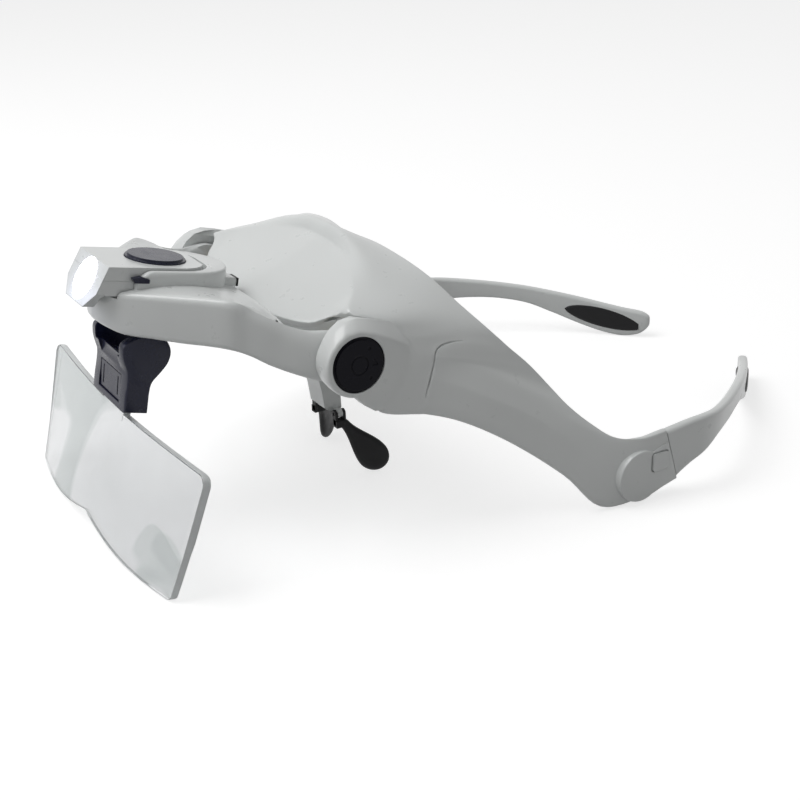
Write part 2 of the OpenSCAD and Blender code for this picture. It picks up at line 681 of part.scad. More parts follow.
// Hollow for the board, cells and reflector.
module lamp_hollow() {
    intersection() {
        lamp_plan(lamp_wall);
        block([-20, -31, lamp_low_w + lamp_wall], [20, 0, lamp_top_w - lamp_wall]);
    }
    at_window() translate([0, 0, -reflector_depth]) cylinder(r1 = reflector_back, r2 = window_d / 2 - 0.9, h = reflector_depth - 0.89, $fn = 48);
    at_window() translate([0, 0, -led_depth - 0.02]) cylinder(r = led_r, h = 1, $fn = 40);
    block([-1, -32.6, window_w - 1.6], [1, -30.2, window_w - 0.4]);
}

reflector_depth = 1.9;
reflector_back = 4;
reflector_wall = 0.35;
led_depth = 2;
led_r = 1.1;

// Frame on the lamp's face, looking out of it along +Z.
module at_window() {
    translate([0, window_y, window_w]) rotate([90 - face_lean, 0, 0]) children();
}

module lamp_half_shell(low, high) {
    difference() {
        intersection() {
            lamp_outer();
            block([-20, -50, low], [20, 20, high]);
        }
        lamp_hollow();
        at_window() translate([0, 0, -0.9]) cylinder(r = window_d / 2 + 0.05, h = 6, $fn = 48);
        bar(lamp_pin_d / 2 + fit, -20, 20, lamp_pin_at[0], lamp_pin_at[1]);
    }
}

module lamp_top() {
    color(shell_colour) lamp_place() difference() {
        lamp_half_shell(lamp_split_w, 20);
        translate([0, button_y, 0]) cylinder(r = button_d / 2 + 0.15, h = 10, $fn = 64);
    }
}

door_r = 8.6;
module lamp_base() {
    color(shell_colour) lamp_place() difference() {
        union() {
            lamp_half_shell(-20, lamp_split_w);
            intersection() {
                lamp_outer();
                block([-9.5, -7.2, lamp_low_w + 0.1], [9.5, -4.4, lamp_split_w]);
            }
            intersection() {
                lamp_plan(lamp_wall + 0.1);
                block([-9.5, -7.2, 0], [9.5, -4.4, 1.1]);
            }
        }
        bar(lamp_pin_d / 2 + fit, -20, 20, lamp_pin_at[0], lamp_pin_at[1]);
        translate([0, button_y, -10]) cylinder(r = door_r + 0.1, h = 10 + lamp_low_w + lamp_wall + 0.1, $fn = 64);
        for (p = lamp_screw_spots) translate([p[0], p[1], -10]) cylinder(r = 0.8, h = 12, $fn = 24);
    }
}

lamp_screw_spots = [[-7.8, -28.6], [7.8, -28.6]];

module lamp_screws() {
    color(steel) lamp_place() for (p = lamp_screw_spots) {
        translate([p[0], p[1], lamp_low_w - 0.05]) cylinder(r = 0.75, h = lamp_top_w - lamp_low_w - lamp_wall, $fn = 24);
    }
}

module cell_door() {
    color(shell_colour) lamp_place() translate([0, button_y, 0]) difference() {
        translate([0, 0, lamp_low_w]) cylinder(r = door_r, h = lamp_wall, $fn = 64);
        translate([0, 0, lamp_low_w - 0.1]) block([-3.5, -0.5, 0], [3.5, 0.5, 0.6]);
    }
}

cell_low = lamp_low_w + lamp_wall + 0.35;
cell_t = 1.6;
module coin_cells() {
    color(steel) lamp_place() translate([0, button_y, 0]) {
        translate([0, 0, cell_low]) cylinder(r = cell_d / 2, h = cell_t, $fn = 64);
        translate([0, 0, cell_low + cell_t + 0.02]) cylinder(r = cell_d / 2, h = cell_t, $fn = 64);
    }
}

module cell_contact() {
    color(brass) lamp_place() translate([0, button_y, lamp_low_w + lamp_wall + 0.02]) difference() {
        union() {
            cylinder(r = 6.5, h = 0.2, $fn = 48);
            for (turn = [0, 120, 240]) rotate([0, 0, turn]) block([2, -0.8, 0.1], [5, 0.8, 0.32]);
        }
        translate([0, 0, -1]) cylinder(r = 1.8, h = 3, $fn = 32);
    }
}

board_low = cell_low + 2 * cell_t + 0.1;
module circuit_board() {
    color([0.1, 0.4, 0.2]) lamp_place() intersection() {
        lamp_plan(lamp_wall + 0.2);
        difference() {
            block([-20, -30.4, board_low], [20, -7.6, board_low + 0.6]);
            for (p = lamp_screw_spots) translate([p[0], p[1], -10]) cylinder(r = 1.1, h = 20, $fn = 24);
        }
    }
}

module switch_dome() {
    color(steel) lamp_place() translate([0, button_y, board_low + 0.62]) difference() {
        cylinder(r = 2.6, h = 0.35, $fn = 40);
        translate([0, 0, -0.01]) cylinder(r = 2, h = 0.2, $fn = 40);
    }
}

button_top_w = lamp_top_w + 1;
module switch_button() {
    color(navy) lamp_place() translate([0, button_y, 0]) {
        translate([0, 0, lamp_top_w - 0.9]) cylinder(r = button_d / 2, h = 1.3, $fn = 64);
        translate([0, 0, lamp_top_w]) cylinder(r = button_d / 2 - 0.6, h = 1, $fn = 64);
        translate([0, 0, board_low + 1.75]) cylinder(r = 1.4, h = 2, $fn = 40);
    }
}

module lamp_window() {
    color(clear) lamp_place() at_window() translate([0, 0, -0.85]) cylinder(r = window_d / 2, h = 1, $fn = 48);
}

module lamp_reflector() {
    top = window_d / 2 - 0.9;
    color(steel) lamp_place() at_window() difference() {
        translate([0, 0, -reflector_depth]) cylinder(r1 = reflector_back, r2 = top, h = reflector_depth - 0.89, $fn = 48);
        translate([0, 0, -reflector_depth + reflector_wall])
            cylinder(r1 = reflector_back - 0.4, r2 = top - 0.4, h = reflector_depth, $fn = 48);
        translate([0, 0, -8]) cylinder(r = led_r, h = 10, $fn = 40);
    }
}

module led() {
    color("white") lamp_place() {
        at_window() {
            translate([0, 0, -led_depth]) cylinder(r = led_r, h = 0.6, $fn = 40);
            intersection() {
                translate([0, 0, -led_depth]) sphere(r = led_r, $fn = 40);
                translate([0, 0, -led_depth]) cylinder(r = led_r, h = 2, $fn = 40);
            }
        }
        for (side = [-1, 1]) translate([side * 0.6, -32.3, window_w - 1]) rotate([-90, 0, 0])
            cylinder(r = 0.2, h = 1.9, $fn = 16);
    }
}

module lamp_pin() {
    color(steel) lamp_place() bar(lamp_pin_d / 2, -collar_half + 0.5, collar_half - 0.5, lamp_pin_at[0], lamp_pin_at[1]);
}

// Lens clip

clip_side = [[4.9, 36.3], [11.2, 34.5], [12.6, 40.4], [13.7, 42.8], [16.4, 45], [18.8, 47.4], [19.9, 50.2],
    [19.4, 52.8], [18, 54.9], [16.4, 56.1], [14.5, 56.6], [12.6, 56.5], [10.4, 56], [7.2, 54.8], [6.5, 52.4],
    [6.6, 50], [7.1, 47], [6.6, 43.6]];
clip_cheek_x = 9;
lens_mid = -6.7;       // where the lens's middle plane would meet the table

function lens_mid_y(z) = lens_mid + z * tan(lens_lean);

// Frame on the lens's middle plane at the clip, Z up along the tab.
module at_tab() {
    translate([0, lens_mid_y(lens_top_z), lens_top_z]) rotate([-lens_lean, 0, 0]) children();
}

latch_lean = 10.3;
latch_half = 7.4;
latch_face_y = 5.66;
latch_z = [38, 45.4];
latch_t = 0.9;

module at_latch() {
    translate([0, latch_face_y, latch_z[0]]) rotate([-latch_lean, 0, 0]) children();
}

module clip_body() {
    color(navy) in_place() difference() {
        side_plate(clip_side, -clip_w / 2, clip_w / 2);
        side_plate([[9.6, 48.2], [13.2, 46.4], [25, 46.4], [25, 62], [0, 62], [0, 52.4], [8.2, 50.6]],
            -clip_cheek_x, clip_cheek_x);
        bar(6.4, -7, 7, 1.2, 50.2, 64);
        at_tab() block([-lens_tab_w / 2 - 0.15, -lens_t / 2 - 0.12, -3], [lens_tab_w / 2 + 0.15, lens_t / 2 + 0.12, 12.6]);
        at_latch() {
            block([-latch_half - 0.2, -2, -0.2], [latch_half + 0.2, latch_t + 0.6, latch_z[1] - latch_z[0] + 0.2]);
            block([-5.4, 0, 5.3], [5.4, 2.6, 7.1]);
        }
        bar(clip_pin_d / 2 + fit, -clip_pin_half - 0.2, clip_pin_half + 0.2, clip_hinge_y, clip_hinge_z);
    }
}

module clip_latch() {
    color(navy) in_place() at_latch() difference() {
        block([-latch_half, 0, 0], [latch_half, latch_t, latch_z[1] - latch_z[0]]);
        both_sides() block([5, -1, 1.2], [5.6, 0.5, 6.4]);
    }
}

module clip_latch_spring() {
    color(steel) in_place() at_latch() translate([0, 0, 5.6]) linear_extrude(1.2)
        polygon([[-5, 2.35], [-1, latch_t + 0.55], [1, latch_t + 0.55], [5, 2.35],
            [5, 2.55], [1, latch_t + 0.75], [-1, latch_t + 0.75], [-5, 2.55]]);
}

// Lens plate

lens_cols = 12;
lens_rows = 5;
notch_z = 5.3;
lens_foot = 0.65;      // height of the front face's corners, so that the back face's corners touch the table

function lens_half(v) = lens_bottom_half + (lens_top_half - lens_bottom_half) * v;

// Bottom edge: a cusp in the middle, a convex run and the corner on the table.
function lens_low(s) = notch_z * (1 - s) - 1.7 * sin(180 * s);

function lens_y(x, z) =
    let (t = pow(min(1, abs(x) / 52), 1.6))
    lens_mid_y(z) * (1 - t) + 0.29 * z * t;

function lens_point(side, s, v) =
    let (low = lens_foot + max(0, lens_low(s)), z = low + (lens_top_z - low) * v, x = side * lens_half(v) * s)
    [x, lens_y(x, z), z];

module lens_plate() {
    grid = [for (i = [-lens_cols:lens_cols])
        [for (j = [0:lens_rows]) lens_point(i < 0 ? -1 : 1, abs(i) / lens_cols, j / lens_rows)]];
    color(clear) in_place() union() {
        translate([0, -lens_t / 2, 0]) sheet(grid, lens_t);
        at_tab() block([-lens_tab_w / 2, -lens_t / 2, -4], [lens_tab_w / 2, lens_t / 2, 12]);
    }
}

frame_shell();
nose_bridge();
nose_bridge_screw();
nose_pad_left();
nose_pad_right();
nose_pad_axle_left();
nose_pad_axle_right();
pivot_screw_left();
pivot_screw_right();
pivot_cap_left();
pivot_cap_right();
pivot_washer_left();
pivot_washer_right();
pivot_insert_left();
pivot_insert_right();
leg_left();
leg_right();
leg_pad_left();
leg_pad_right();
leg_latch_left();
leg_latch_right();
leg_spring_left();
leg_spring_right();
yoke_shell();
yoke_covers();
yoke_screws();
flip_bumper();
tilt_stops();
clip_pin();
clip_friction_spring();
lamp_top();
lamp_base();
lamp_window();
lamp_reflector();
led();
circuit_board();
coin_cells();
cell_contact();
cell_door();
lamp_screws();
lamp_pin();
switch_button();
switch_dome();
clip_body();
clip_latch();
clip_latch_spring();
lens_plate();
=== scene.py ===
import bpy, bmesh, json, math
from mathutils import Matrix, Vector
from mathutils.bvhtree import BVHTree


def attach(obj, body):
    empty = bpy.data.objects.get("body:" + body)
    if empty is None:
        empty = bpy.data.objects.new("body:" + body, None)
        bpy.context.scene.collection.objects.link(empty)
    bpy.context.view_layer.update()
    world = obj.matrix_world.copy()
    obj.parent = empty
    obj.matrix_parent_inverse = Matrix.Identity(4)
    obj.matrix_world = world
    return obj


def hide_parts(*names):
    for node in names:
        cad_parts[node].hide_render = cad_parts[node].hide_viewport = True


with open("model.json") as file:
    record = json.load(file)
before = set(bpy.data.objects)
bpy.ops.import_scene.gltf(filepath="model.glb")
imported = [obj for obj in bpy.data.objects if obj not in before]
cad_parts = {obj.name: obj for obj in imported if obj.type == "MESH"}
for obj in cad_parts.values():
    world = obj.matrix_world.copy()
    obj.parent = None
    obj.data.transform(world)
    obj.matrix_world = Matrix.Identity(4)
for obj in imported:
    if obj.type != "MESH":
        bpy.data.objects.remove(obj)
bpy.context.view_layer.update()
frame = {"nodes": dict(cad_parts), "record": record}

MM = 0.001
CENTRE_Y = 104.15
NODES = frame["nodes"]
scene = bpy.context.scene


def place(p):
    """A point designed from the lens corners, in millimetres, in the row frame."""
    return Vector((p[0] * MM, (p[1] - CENTRE_Y) * MM, p[2] * MM))


# Camera

cam_data = bpy.data.cameras.new("camera")
cam = bpy.data.objects.new("camera", cam_data)
scene.collection.objects.link(cam)
right = Vector((0.5113, 0.8588, -0.0315))
forward = Vector((-0.7934, 0.4576, -0.4013)).normalized()
right = (right - forward * right.dot(forward)).normalized()
up = right.cross(forward)
turn = Matrix((right, up, -forward)).transposed()
cam.matrix_world = Matrix.Translation(place((343.09, -102.42, 186.72))) @ turn.to_4x4()
cam_data.sensor_width = 36
cam_data.lens = 63.9
cam_data.clip_start = 0.01
cam_data.clip_end = 20
scene.camera = cam


# Materials

def material(name):
    """An empty material with its nodes, links and main shader."""
    m = bpy.data.materials.new(name)
    m.use_nodes = True
    return m, m.node_tree.nodes, m.node_tree.links, m.node_tree.nodes["Principled BSDF"]


def noise(nodes, links, scale, detail, roughness=0.5):
    """Noise in the piece's own coordinates, in metres."""
    coords = nodes.new("ShaderNodeTexCoord")
    n = nodes.new("ShaderNodeTexNoise")
    n.inputs["Scale"].default_value = scale
    n.inputs["Detail"].default_value = detail
    n.inputs["Roughness"].default_value = roughness
    links.new(coords.outputs["Object"], n.inputs["Vector"])
    return n


def remap(nodes, links, source, low, high, start=0.3, end=0.7):
    """Stretches the source's values from start to end over low to high."""
    r = nodes.new("ShaderNodeMapRange")
    r.inputs["From Min"].default_value = start
    r.inputs["From Max"].default_value = end
    r.inputs["To Min"].default_value = low
    r.inputs["To Max"].default_value = high
    links.new(source, r.inputs["Value"])
    return r.outputs["Result"]


def blend_colour(nodes, links, source, a, b):
    """Mixes two colours by the source's value."""
    ramp = nodes.new("ShaderNodeValToRGB")
    ramp.color_ramp.elements[0].position = 0.35
    ramp.color_ramp.elements[1].position = 0.65
    ramp.color_ramp.elements[0].color = (*a, 1)
    ramp.color_ramp.elements[1].color = (*b, 1)
    links.new(source, ramp.inputs["Fac"])
    return ramp.outputs["Color"]


BEVEL_SAMPLES = 6
GRAIN_STRENGTH = 0.2


def bump(nodes, links, source, distance, edge):
    """Fine surface relief, over edges that are rounded by the given radius."""
    b = nodes.new("ShaderNodeBump")
    b.inputs["Strength"].default_value = GRAIN_STRENGTH
    b.inputs["Distance"].default_value = distance
    links.new(source, b.inputs["Height"])
    if edge:
        rounding = nodes.new("ShaderNodeBevel")
        rounding.samples = BEVEL_SAMPLES
        rounding.inputs["Radius"].default_value = edge
        links.new(rounding.outputs["Normal"], b.inputs["Normal"])
    return b.outputs["Normal"]


def plastic(name, colours, roughness, grain_scale, grain_depth, coat=0.0, spec=0.5, edge=0.35 * MM):
    """Moulded plastic: mottled between two colours, with uneven gloss and a fine grain."""
    m, nodes, links, shader = material(name)
    mottle = noise(nodes, links, 30, 2)
    links.new(blend_colour(nodes, links, mottle.outputs["Fac"], *colours), shader.inputs["Base Color"])
    wear = noise(nodes, links, 240, 5, 0.6)
    links.new(remap(nodes, links, wear.outputs["Fac"], *roughness), shader.inputs["Roughness"])
    grain = noise(nodes, links, grain_scale, 2)
    links.new(bump(nodes, links, grain.outputs["Fac"], grain_depth, edge), shader.inputs["Normal"])
    shader.inputs["Specular IOR Level"].default_value = spec
    shader.inputs["Coat Weight"].default_value = coat
    shader.inputs["Coat Roughness"].default_value = 0.1
    return m


white = plastic("white_abs", [(0.628, 0.646, 0.640), (0.634, 0.652, 0.646)], (0.27, 0.31),
                900, 0.01 * MM, coat=0.1)
navy = plastic("navy_plastic", [(0.008, 0.009, 0.026), (0.010, 0.012, 0.032)], (0.22, 0.32),
               2200, 0.03 * MM, spec=0.25)
cap_black = plastic("cap_plastic", [(0.004, 0.004, 0.007), (0.006, 0.006, 0.010)], (0.2, 0.3),
                    2200, 0.03 * MM, spec=0.08)
rubber = plastic("black_rubber", [(0.007, 0.007, 0.008), (0.012, 0.012, 0.013)], (0.4, 0.55),
                 2600, 0.04 * MM, spec=0.2)
board = plastic("board_lacquer", [(0.02, 0.12, 0.05), (0.03, 0.16, 0.07)], (0.3, 0.45), 1500, 0.02 * MM)


def metal(name, a, b, rough_low, rough_high):
    """Brushed metal."""
    m, nodes, links, shader = material(name)
    coords = nodes.new("ShaderNodeTexCoord")
    stretch = nodes.new("ShaderNodeMapping")
    stretch.inputs["Scale"].default_value = (1, 12, 12)
    links.new(coords.outputs["Object"], stretch.inputs["Vector"])
    brushed = nodes.new("ShaderNodeTexNoise")
    brushed.inputs["Scale"].default_value = 400
    links.new(stretch.outputs["Vector"], brushed.inputs["Vector"])
    links.new(blend_colour(nodes, links, brushed.outputs["Fac"], a, b), shader.inputs["Base Color"])
    rough = remap(nodes, links, brushed.outputs["Fac"], rough_low, rough_high)
    links.new(rough, shader.inputs["Roughness"])
    shader.inputs["Metallic"].default_value = 1
    return m


steel = metal("steel", (0.55, 0.56, 0.58), (0.66, 0.67, 0.69), 0.25, 0.4)
brass = metal("brass", (0.68, 0.5, 0.22), (0.75, 0.57, 0.28), 0.25, 0.4)
bright = metal("bright_reflector", (0.85, 0.86, 0.88), (0.9, 0.91, 0.93), 0.08, 0.14)

ACRYLIC_IOR = 1.49


def clear_plastic(name, tint_low, tint_high, rough_low, rough_high, haze_low, haze_high):
    """Clear acrylic with a little haze and smears, as moulded lenses have."""
    m, nodes, links, shader = material(name)
    veil = noise(nodes, links, 24, 1, 0.4)
    veil.inputs["Distortion"].default_value = 1.1
    streaks = remap(nodes, links, veil.outputs["Fac"], 0, 1, 0.44, 0.54)
    links.new(blend_colour(nodes, links, streaks, tint_low, tint_high), shader.inputs["Base Color"])
    smears = noise(nodes, links, 60, 6, 0.6)
    rough = remap(nodes, links, smears.outputs["Fac"], rough_low, rough_high)
    links.new(rough, shader.inputs["Roughness"])
    shader.inputs["Transmission Weight"].default_value = 1
    shader.inputs["IOR"].default_value = ACRYLIC_IOR
    haze = nodes.new("ShaderNodeBsdfDiffuse")
    haze.inputs["Color"].default_value = (0.8, 0.83, 0.83, 1)
    cloud = noise(nodes, links, 22, 3, 0.55)
    mixed = nodes.new("ShaderNodeMixShader")
    clouding = remap(nodes, links, cloud.outputs["Fac"], haze_low, haze_high, 0.35, 0.7)
    links.new(clouding, mixed.inputs["Fac"])
    links.new(shader.outputs[0], mixed.inputs[1])
    links.new(haze.outputs[0], mixed.inputs[2])
    links.new(mixed.outputs[0], nodes["Material Output"].inputs["Surface"])
    return m


clear = clear_plastic("clear_acrylic", (0.50, 0.53, 0.53), (0.70, 0.71, 0.72), 0.01, 0.05, 0.03, 0.12)
lens_edge = plastic("acrylic_edge", [(0.74, 0.76, 0.76), (0.8, 0.82, 0.82)], (0.3, 0.45),
                    1500, 0.01 * MM, edge=0)
lens_edge.node_tree.nodes["Principled BSDF"].inputs["Transmission Weight"].default_value = 0.3


def glowing(name, tint, glow_a, glow_b, strength, roughness):
    """Lit plastic."""
    m, nodes, links, shader = material(name)
    fine = noise(nodes, links, 300, 2)
    links.new(blend_colour(nodes, links, fine.outputs["Fac"], tint, tuple(min(1, c + 0.04) for c in tint)),
              shader.inputs["Base Color"])
    glow = blend_colour(nodes, links, fine.outputs["Fac"], glow_a, glow_b)
    links.new(glow, shader.inputs["Emission Color"])
    shader.inputs["Emission Strength"].default_value = strength
    shader.inputs["Roughness"].default_value = roughness
    return m


led_mat = glowing("led_light", (0.92, 0.95, 1), (0.82, 0.9, 1), (0.88, 0.94, 1), 6, 0.3)
window_mat = glowing("lit_window", (0.9, 0.93, 0.96), (0.86, 0.88, 1), (0.9, 0.92, 1), 7, 0.08)

FINISH = {"white_plastic": white, "dark_plastic": navy, "black_rubber": rubber,
          "steel": steel, "brass": brass, "bright_reflector": bright,
          "clear_plastic": clear, "led_white": led_mat, "board_green": board}
SLOT_OF = {s["node"]: s["material_slot"] for s in frame["record"]["subparts"]}


# Shapes, in millimetres from the lens corners

def catmull(a, b, c, d, t):
    """A point of the smooth curve between b and c."""
    return tuple(0.5 * (2 * q + (r - p) * t + (2 * p - 5 * q + 4 * r - s) * t * t
                        + (3 * q - p - 3 * r + s) * t ** 3) for p, q, r, s in zip(a, b, c, d))


def curve_at(points, u):
    """The smooth curve through the points, at u counted in points."""
    i = min(len(points) - 2, int(u))
    ends = [points[max(0, min(len(points) - 1, k))] for k in range(i - 1, i + 3)]
    return catmull(*ends, u - i)


def curve(points, steps):
    """The smooth curve through all the points, cut into steps between each two."""
    return [curve_at(points, k / steps) for k in range((len(points) - 1) * steps + 1)]


def arc(y, z, r, start, end, steps):
    """Points on a circle between two angles in degrees."""
    return [(y + r * math.cos(math.radians(a)), z + r * math.sin(math.radians(a)))
            for a in [start + (end - start) * k / steps for k in range(steps + 1)]]


LATHE_SIDES = 96
SHARP_ANGLE = 34


class Shape:
    """Closed shells gathered into one mesh."""

    def __init__(self):
        self.verts, self.faces = [], []

    def add(self, verts, faces):
        base = len(self.verts)
        self.verts += [tuple(v) for v in verts]
        self.faces += [tuple(base + i for i in f) for f in faces]
        return self

    def rings(self, rings):
        """Skins rings that all have the same number of points, and closes both ends."""
        m = len(rings[0])
        verts = [p for ring in rings for p in ring]
        faces = [(i * m + j, i * m + (j + 1) % m, (i + 1) * m + (j + 1) % m, (i + 1) * m + j)
                 for i in range(len(rings) - 1) for j in range(m)]
        faces += [tuple(range(m))[::-1], tuple((len(rings) - 1) * m + j for j in range(m))]
        return self.add(verts, faces)

    def lathe(self, profile, y, z):
        """Turns a profile of radius and x round an axis along X."""
        turns = [2 * math.pi * k / LATHE_SIDES for k in range(LATHE_SIDES)]
        return self.rings([[(x, y + r * math.cos(a), z + r * math.sin(a)) for a in turns]
                           for r, x in profile])

    def plate(self, outline, x0, x1, edge):
        """A side outline in y and z, with its edges eased."""
        cy = sum(p[0] for p in outline) / len(outline)
        cz = sum(p[1] for p in outline) / len(outline)

        def inset(by):
            return [(cy + (y - cy) * (1 - by / max(1e-6, math.hypot(y - cy, z - cz))),
                     cz + (z - cz) * (1 - by / max(1e-6, math.hypot(y - cy, z - cz)))) for y, z in outline]
        steps = [(edge, 0), (edge * 0.3, edge * 0.3), (0, edge)]
        rings = [[(x0 + dx, *p) for p in inset(by)] for by, dx in steps]
        rings += [[(x1 - dx, *p) for p in inset(by)] for by, dx in reversed(steps)]
        return self.rings(rings)

    def block(self, low, high, edge):
        """A box between two corners, with its edges eased."""
        return self.plate(rounded_box(low[1], high[1], low[2], high[2], edge), low[0], high[0], edge)

    def mirrored(self):
        """Adds the same shells on the other side."""
        verts = [(-x, y, z) for x, y, z in self.verts]
        return self.add(verts, [tuple(reversed(f)) for f in self.faces])

    def object(self, name):
        mesh = bpy.data.meshes.new(name)
        mesh.from_pydata([place(v) for v in self.verts], [], self.faces)
        return finish_mesh(name, mesh)


def finish_mesh(name, mesh, sharp=SHARP_ANGLE):
    """Welds a mesh, shades it smooth up to an angle and makes its object."""
    bm = bmesh.new()
    bm.from_mesh(mesh)
    bmesh.ops.remove_doubles(bm, verts=bm.verts, dist=2e-6)
    bmesh.ops.recalc_face_normals(bm, faces=bm.faces)
    bm.to_mesh(mesh)
    bm.free()
    mesh.polygons.foreach_set("use_smooth", [True] * len(mesh.polygons))
    mesh.set_sharp_from_angle(angle=math.radians(sharp))
    obj = bpy.data.objects.new(name, mesh)
    scene.collection.objects.link(obj)
    return obj


def rounded_box(y0, y1, z0, z1, r):
    """Outline of a box with round corners."""
    return (arc(y1 - r, z1 - r, r, 0, 90, 4) + arc(y0 + r, z1 - r, r, 90, 180, 4)
            + arc(y0 + r, z0 + r, r, 180, 270, 4) + arc(y1 - r, z0 + r, r, 270, 360, 4))


def carve(obj, *cutters):
    """Cuts cutters out of an object and leaves plain mesh."""
    for cutter in cutters:
        m = obj.modifiers.new("cut", "BOOLEAN")
        m.operation = "DIFFERENCE"
        m.solver = "EXACT"
        m.object = cutter
    bpy.context.view_layer.update()
    cut = bpy.data.meshes.new_from_object(obj.evaluated_get(bpy.context.evaluated_depsgraph_get()))
    obj.modifiers.clear()
    old, obj.data = obj.data, cut
    bpy.data.meshes.remove(old)
    for cutter in cutters:
        bpy.data.objects.remove(cutter)
    cut.polygons.foreach_set("use_smooth", [True] * len(cut.polygons))
    cut.set_sharp_from_angle(angle=math.radians(SHARP_ANGLE))
    return obj


def dress(obj, body, node, finish=None):
    """Puts a piece on its body in place of a CAD node, with that node's finish."""
    obj.data.materials.clear()
    obj.data.materials.append(finish or FINISH[SLOT_OF[node]])
    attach(obj, body)
    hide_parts(node)
    return obj


def along(a, b, t):
    """The point at t between a and b."""
    return tuple(p + (q - p) * t for p, q in zip(a, b))


def sheet_rings(grid, thickness, edge):
    """Rings round a thick sheet, one a station, with both long edges rounded."""
    n, m = len(grid), len(grid[0])
    rings = []
    for i in range(n):
        outer = [Vector(p) for p in grid[i]]
        inner = []
        for j in range(m):
            a, b = Vector(grid[min(i + 1, n - 1)][j]), Vector(grid[max(i - 1, 0)][j])
            c, d = Vector(grid[i][min(j + 1, m - 1)]), Vector(grid[i][max(j - 1, 0)])
            inner.append(outer[j] - (a - b).cross(c - d).normalized() * thickness)

        def nose(o, q, out):
            mid = (o + q) / 2
            return [mid + (o - mid) * math.cos(math.radians(a)) + out * edge * math.sin(math.radians(a))
                    for a in (30, 60, 90, 120, 150)]
        start = nose(outer[0], inner[0], (outer[0] - outer[1]).normalized())
        end = nose(outer[-1], inner[-1], (outer[-1] - outer[-2]).normalized())
        rings.append(outer + end + inner[::-1] + start[::-1])
    return rings


for name, node in NODES.items():
    node.data.materials.clear()
    node.data.materials.append(FINISH[SLOT_OF[name]])


def tilted(y, z, lean):
    """A frame leaning back about X: v backwards and w upwards from y and z."""
    c, s = math.cos(math.radians(lean)), math.sin(math.radians(lean))
    return lambda x, v, w: (x, y + v * c + w * s, z - v * s + w * c)


# Frames of the lamp's pin, the yoke's cover and the clip's latch
at_lamp = tilted(36.5, 65.5, 12)
COVER_Y = 26
at_cover = tilted(COVER_Y, 56.85, 7.4)
at_latch = tilted(5.66, 38, 10.3)


def flat(x, y, z):
    """The frame that changes nothing."""
    return (x, y, z)


def prism(outline, x0, x1, frame_of=flat):
    """A side outline carried straight along X, as an object."""
    return Shape().rings([[frame_of(x, *p) for p in outline] for x in (x0, x1)]).object("cutter")


def box_cutter(low, high, frame_of):
    """A box between two corners of a leaning frame."""
    return prism([(low[1], low[2]), (high[1], low[2]), (high[1], high[2]), (low[1], high[2])],
                 low[0], high[0], frame_of)


def merge(name, *objects):
    """Gathers several objects into one mesh."""
    bm = bmesh.new()
    for obj in objects:
        bm.from_mesh(obj.data)
        bpy.data.objects.remove(obj)
    mesh = bpy.data.meshes.new(name)
    bm.to_mesh(mesh)
    bm.free()
    return finish_mesh(name, mesh)


# Frame shell

# Lines along the shell from its middle to the socket, in x, y, z: front edge, crease, shoulder, rear rim.
BROW = [(0, 44, 58), (11, 44.6, 58), (23, 46.8, 58), (33, 50.3, 58.6), (39.5, 56, 60.5), (46.5, 61.5, 54.5),
        (50, 60, 46.5), (52, 60, 38), (55, 72.5, 35), (58.5, 82.5, 31), (63, 95, 23),
        (67.7, 107.5, 12.5), (71.6, 117, 2), (73.5, 130, 2), (74.2, 141.2, 4.8)]
CREASE = [(0, 71, 69.5), (11, 70.8, 69), (23, 67.6, 67.7), (34.5, 62.3, 65.2), (42.4, 56.9, 62.6),
          (46.5, 63, 58.5), (49.5, 65.5, 52), (52.5, 67.5, 45), (55, 77, 42.8), (58.8, 87, 37.6),
          (63.4, 100, 29.6), (68, 111, 20), (71.8, 119.5, 8.8), (73.7, 131, 7.4), (74.2, 140, 9.2)]
SHOULDER = [(0, 73.6, 73.2), (11.3, 73.5, 72.6), (24, 72.3, 69.7), (36.5, 69.8, 65.3), (47, 67.8, 61.2),
            (50.5, 70.5, 56.6), (52, 72.5, 53), (53.3, 75.5, 49.7), (55.3, 85, 45.7), (58.8, 94, 39.6),
            (63.5, 105, 31), (68.2, 115, 23), (71.8, 122.5, 16.5), (73.7, 131, 14.5), (74.2, 138.4, 14.3)]
RIM = [(0, 79.6, 69.4), (12, 81.2, 69.6), (24.5, 82.4, 68.3), (36.5, 84.2, 65.3), (46, 87.3, 59.9),
       (52.5, 91.5, 54.3), (55.6, 97, 48), (57.5, 102, 42.7), (60, 107, 36.2), (63.7, 111, 30.5),
       (67, 116, 25.3), (70.2, 121.5, 21), (72.6, 128, 19.5), (73.9, 133, 19.6), (74.2, 136.8, 19.9)]
SHELL_T = 2.2
# The raised side panel: its front line in the side view, its height and where it fades.
STEP_LINE = [(71.2, 37.6), (71.5, 39), (73, 42.8), (75, 47.8), (76.3, 51.2), (79.5, 52.4), (84.6, 52.2),
             (90, 51)]
STEP_RISE, STEP_RUN = 0.3, 0.9
PANEL_X, PANEL_FRONT, PANEL_REAR, PANEL_FADE = 51, 69, 104, 18
GROOVE_DEPTH, GROOVE_HALF, GROOVE_OPEN = 0.5, 0.2, 1.5
PIVOT = (53.7, 52.1)


def smooth_row(row, passes):
    """Evens out a row of points and keeps its ends."""
    for _ in range(passes):
        row = [row[0]] + [tuple((a + 2 * b + c) / 4 for a, b, c in zip(*row[i - 1:i + 2]))
                          for i in range(1, len(row) - 1)] + [row[-1]]
    return row


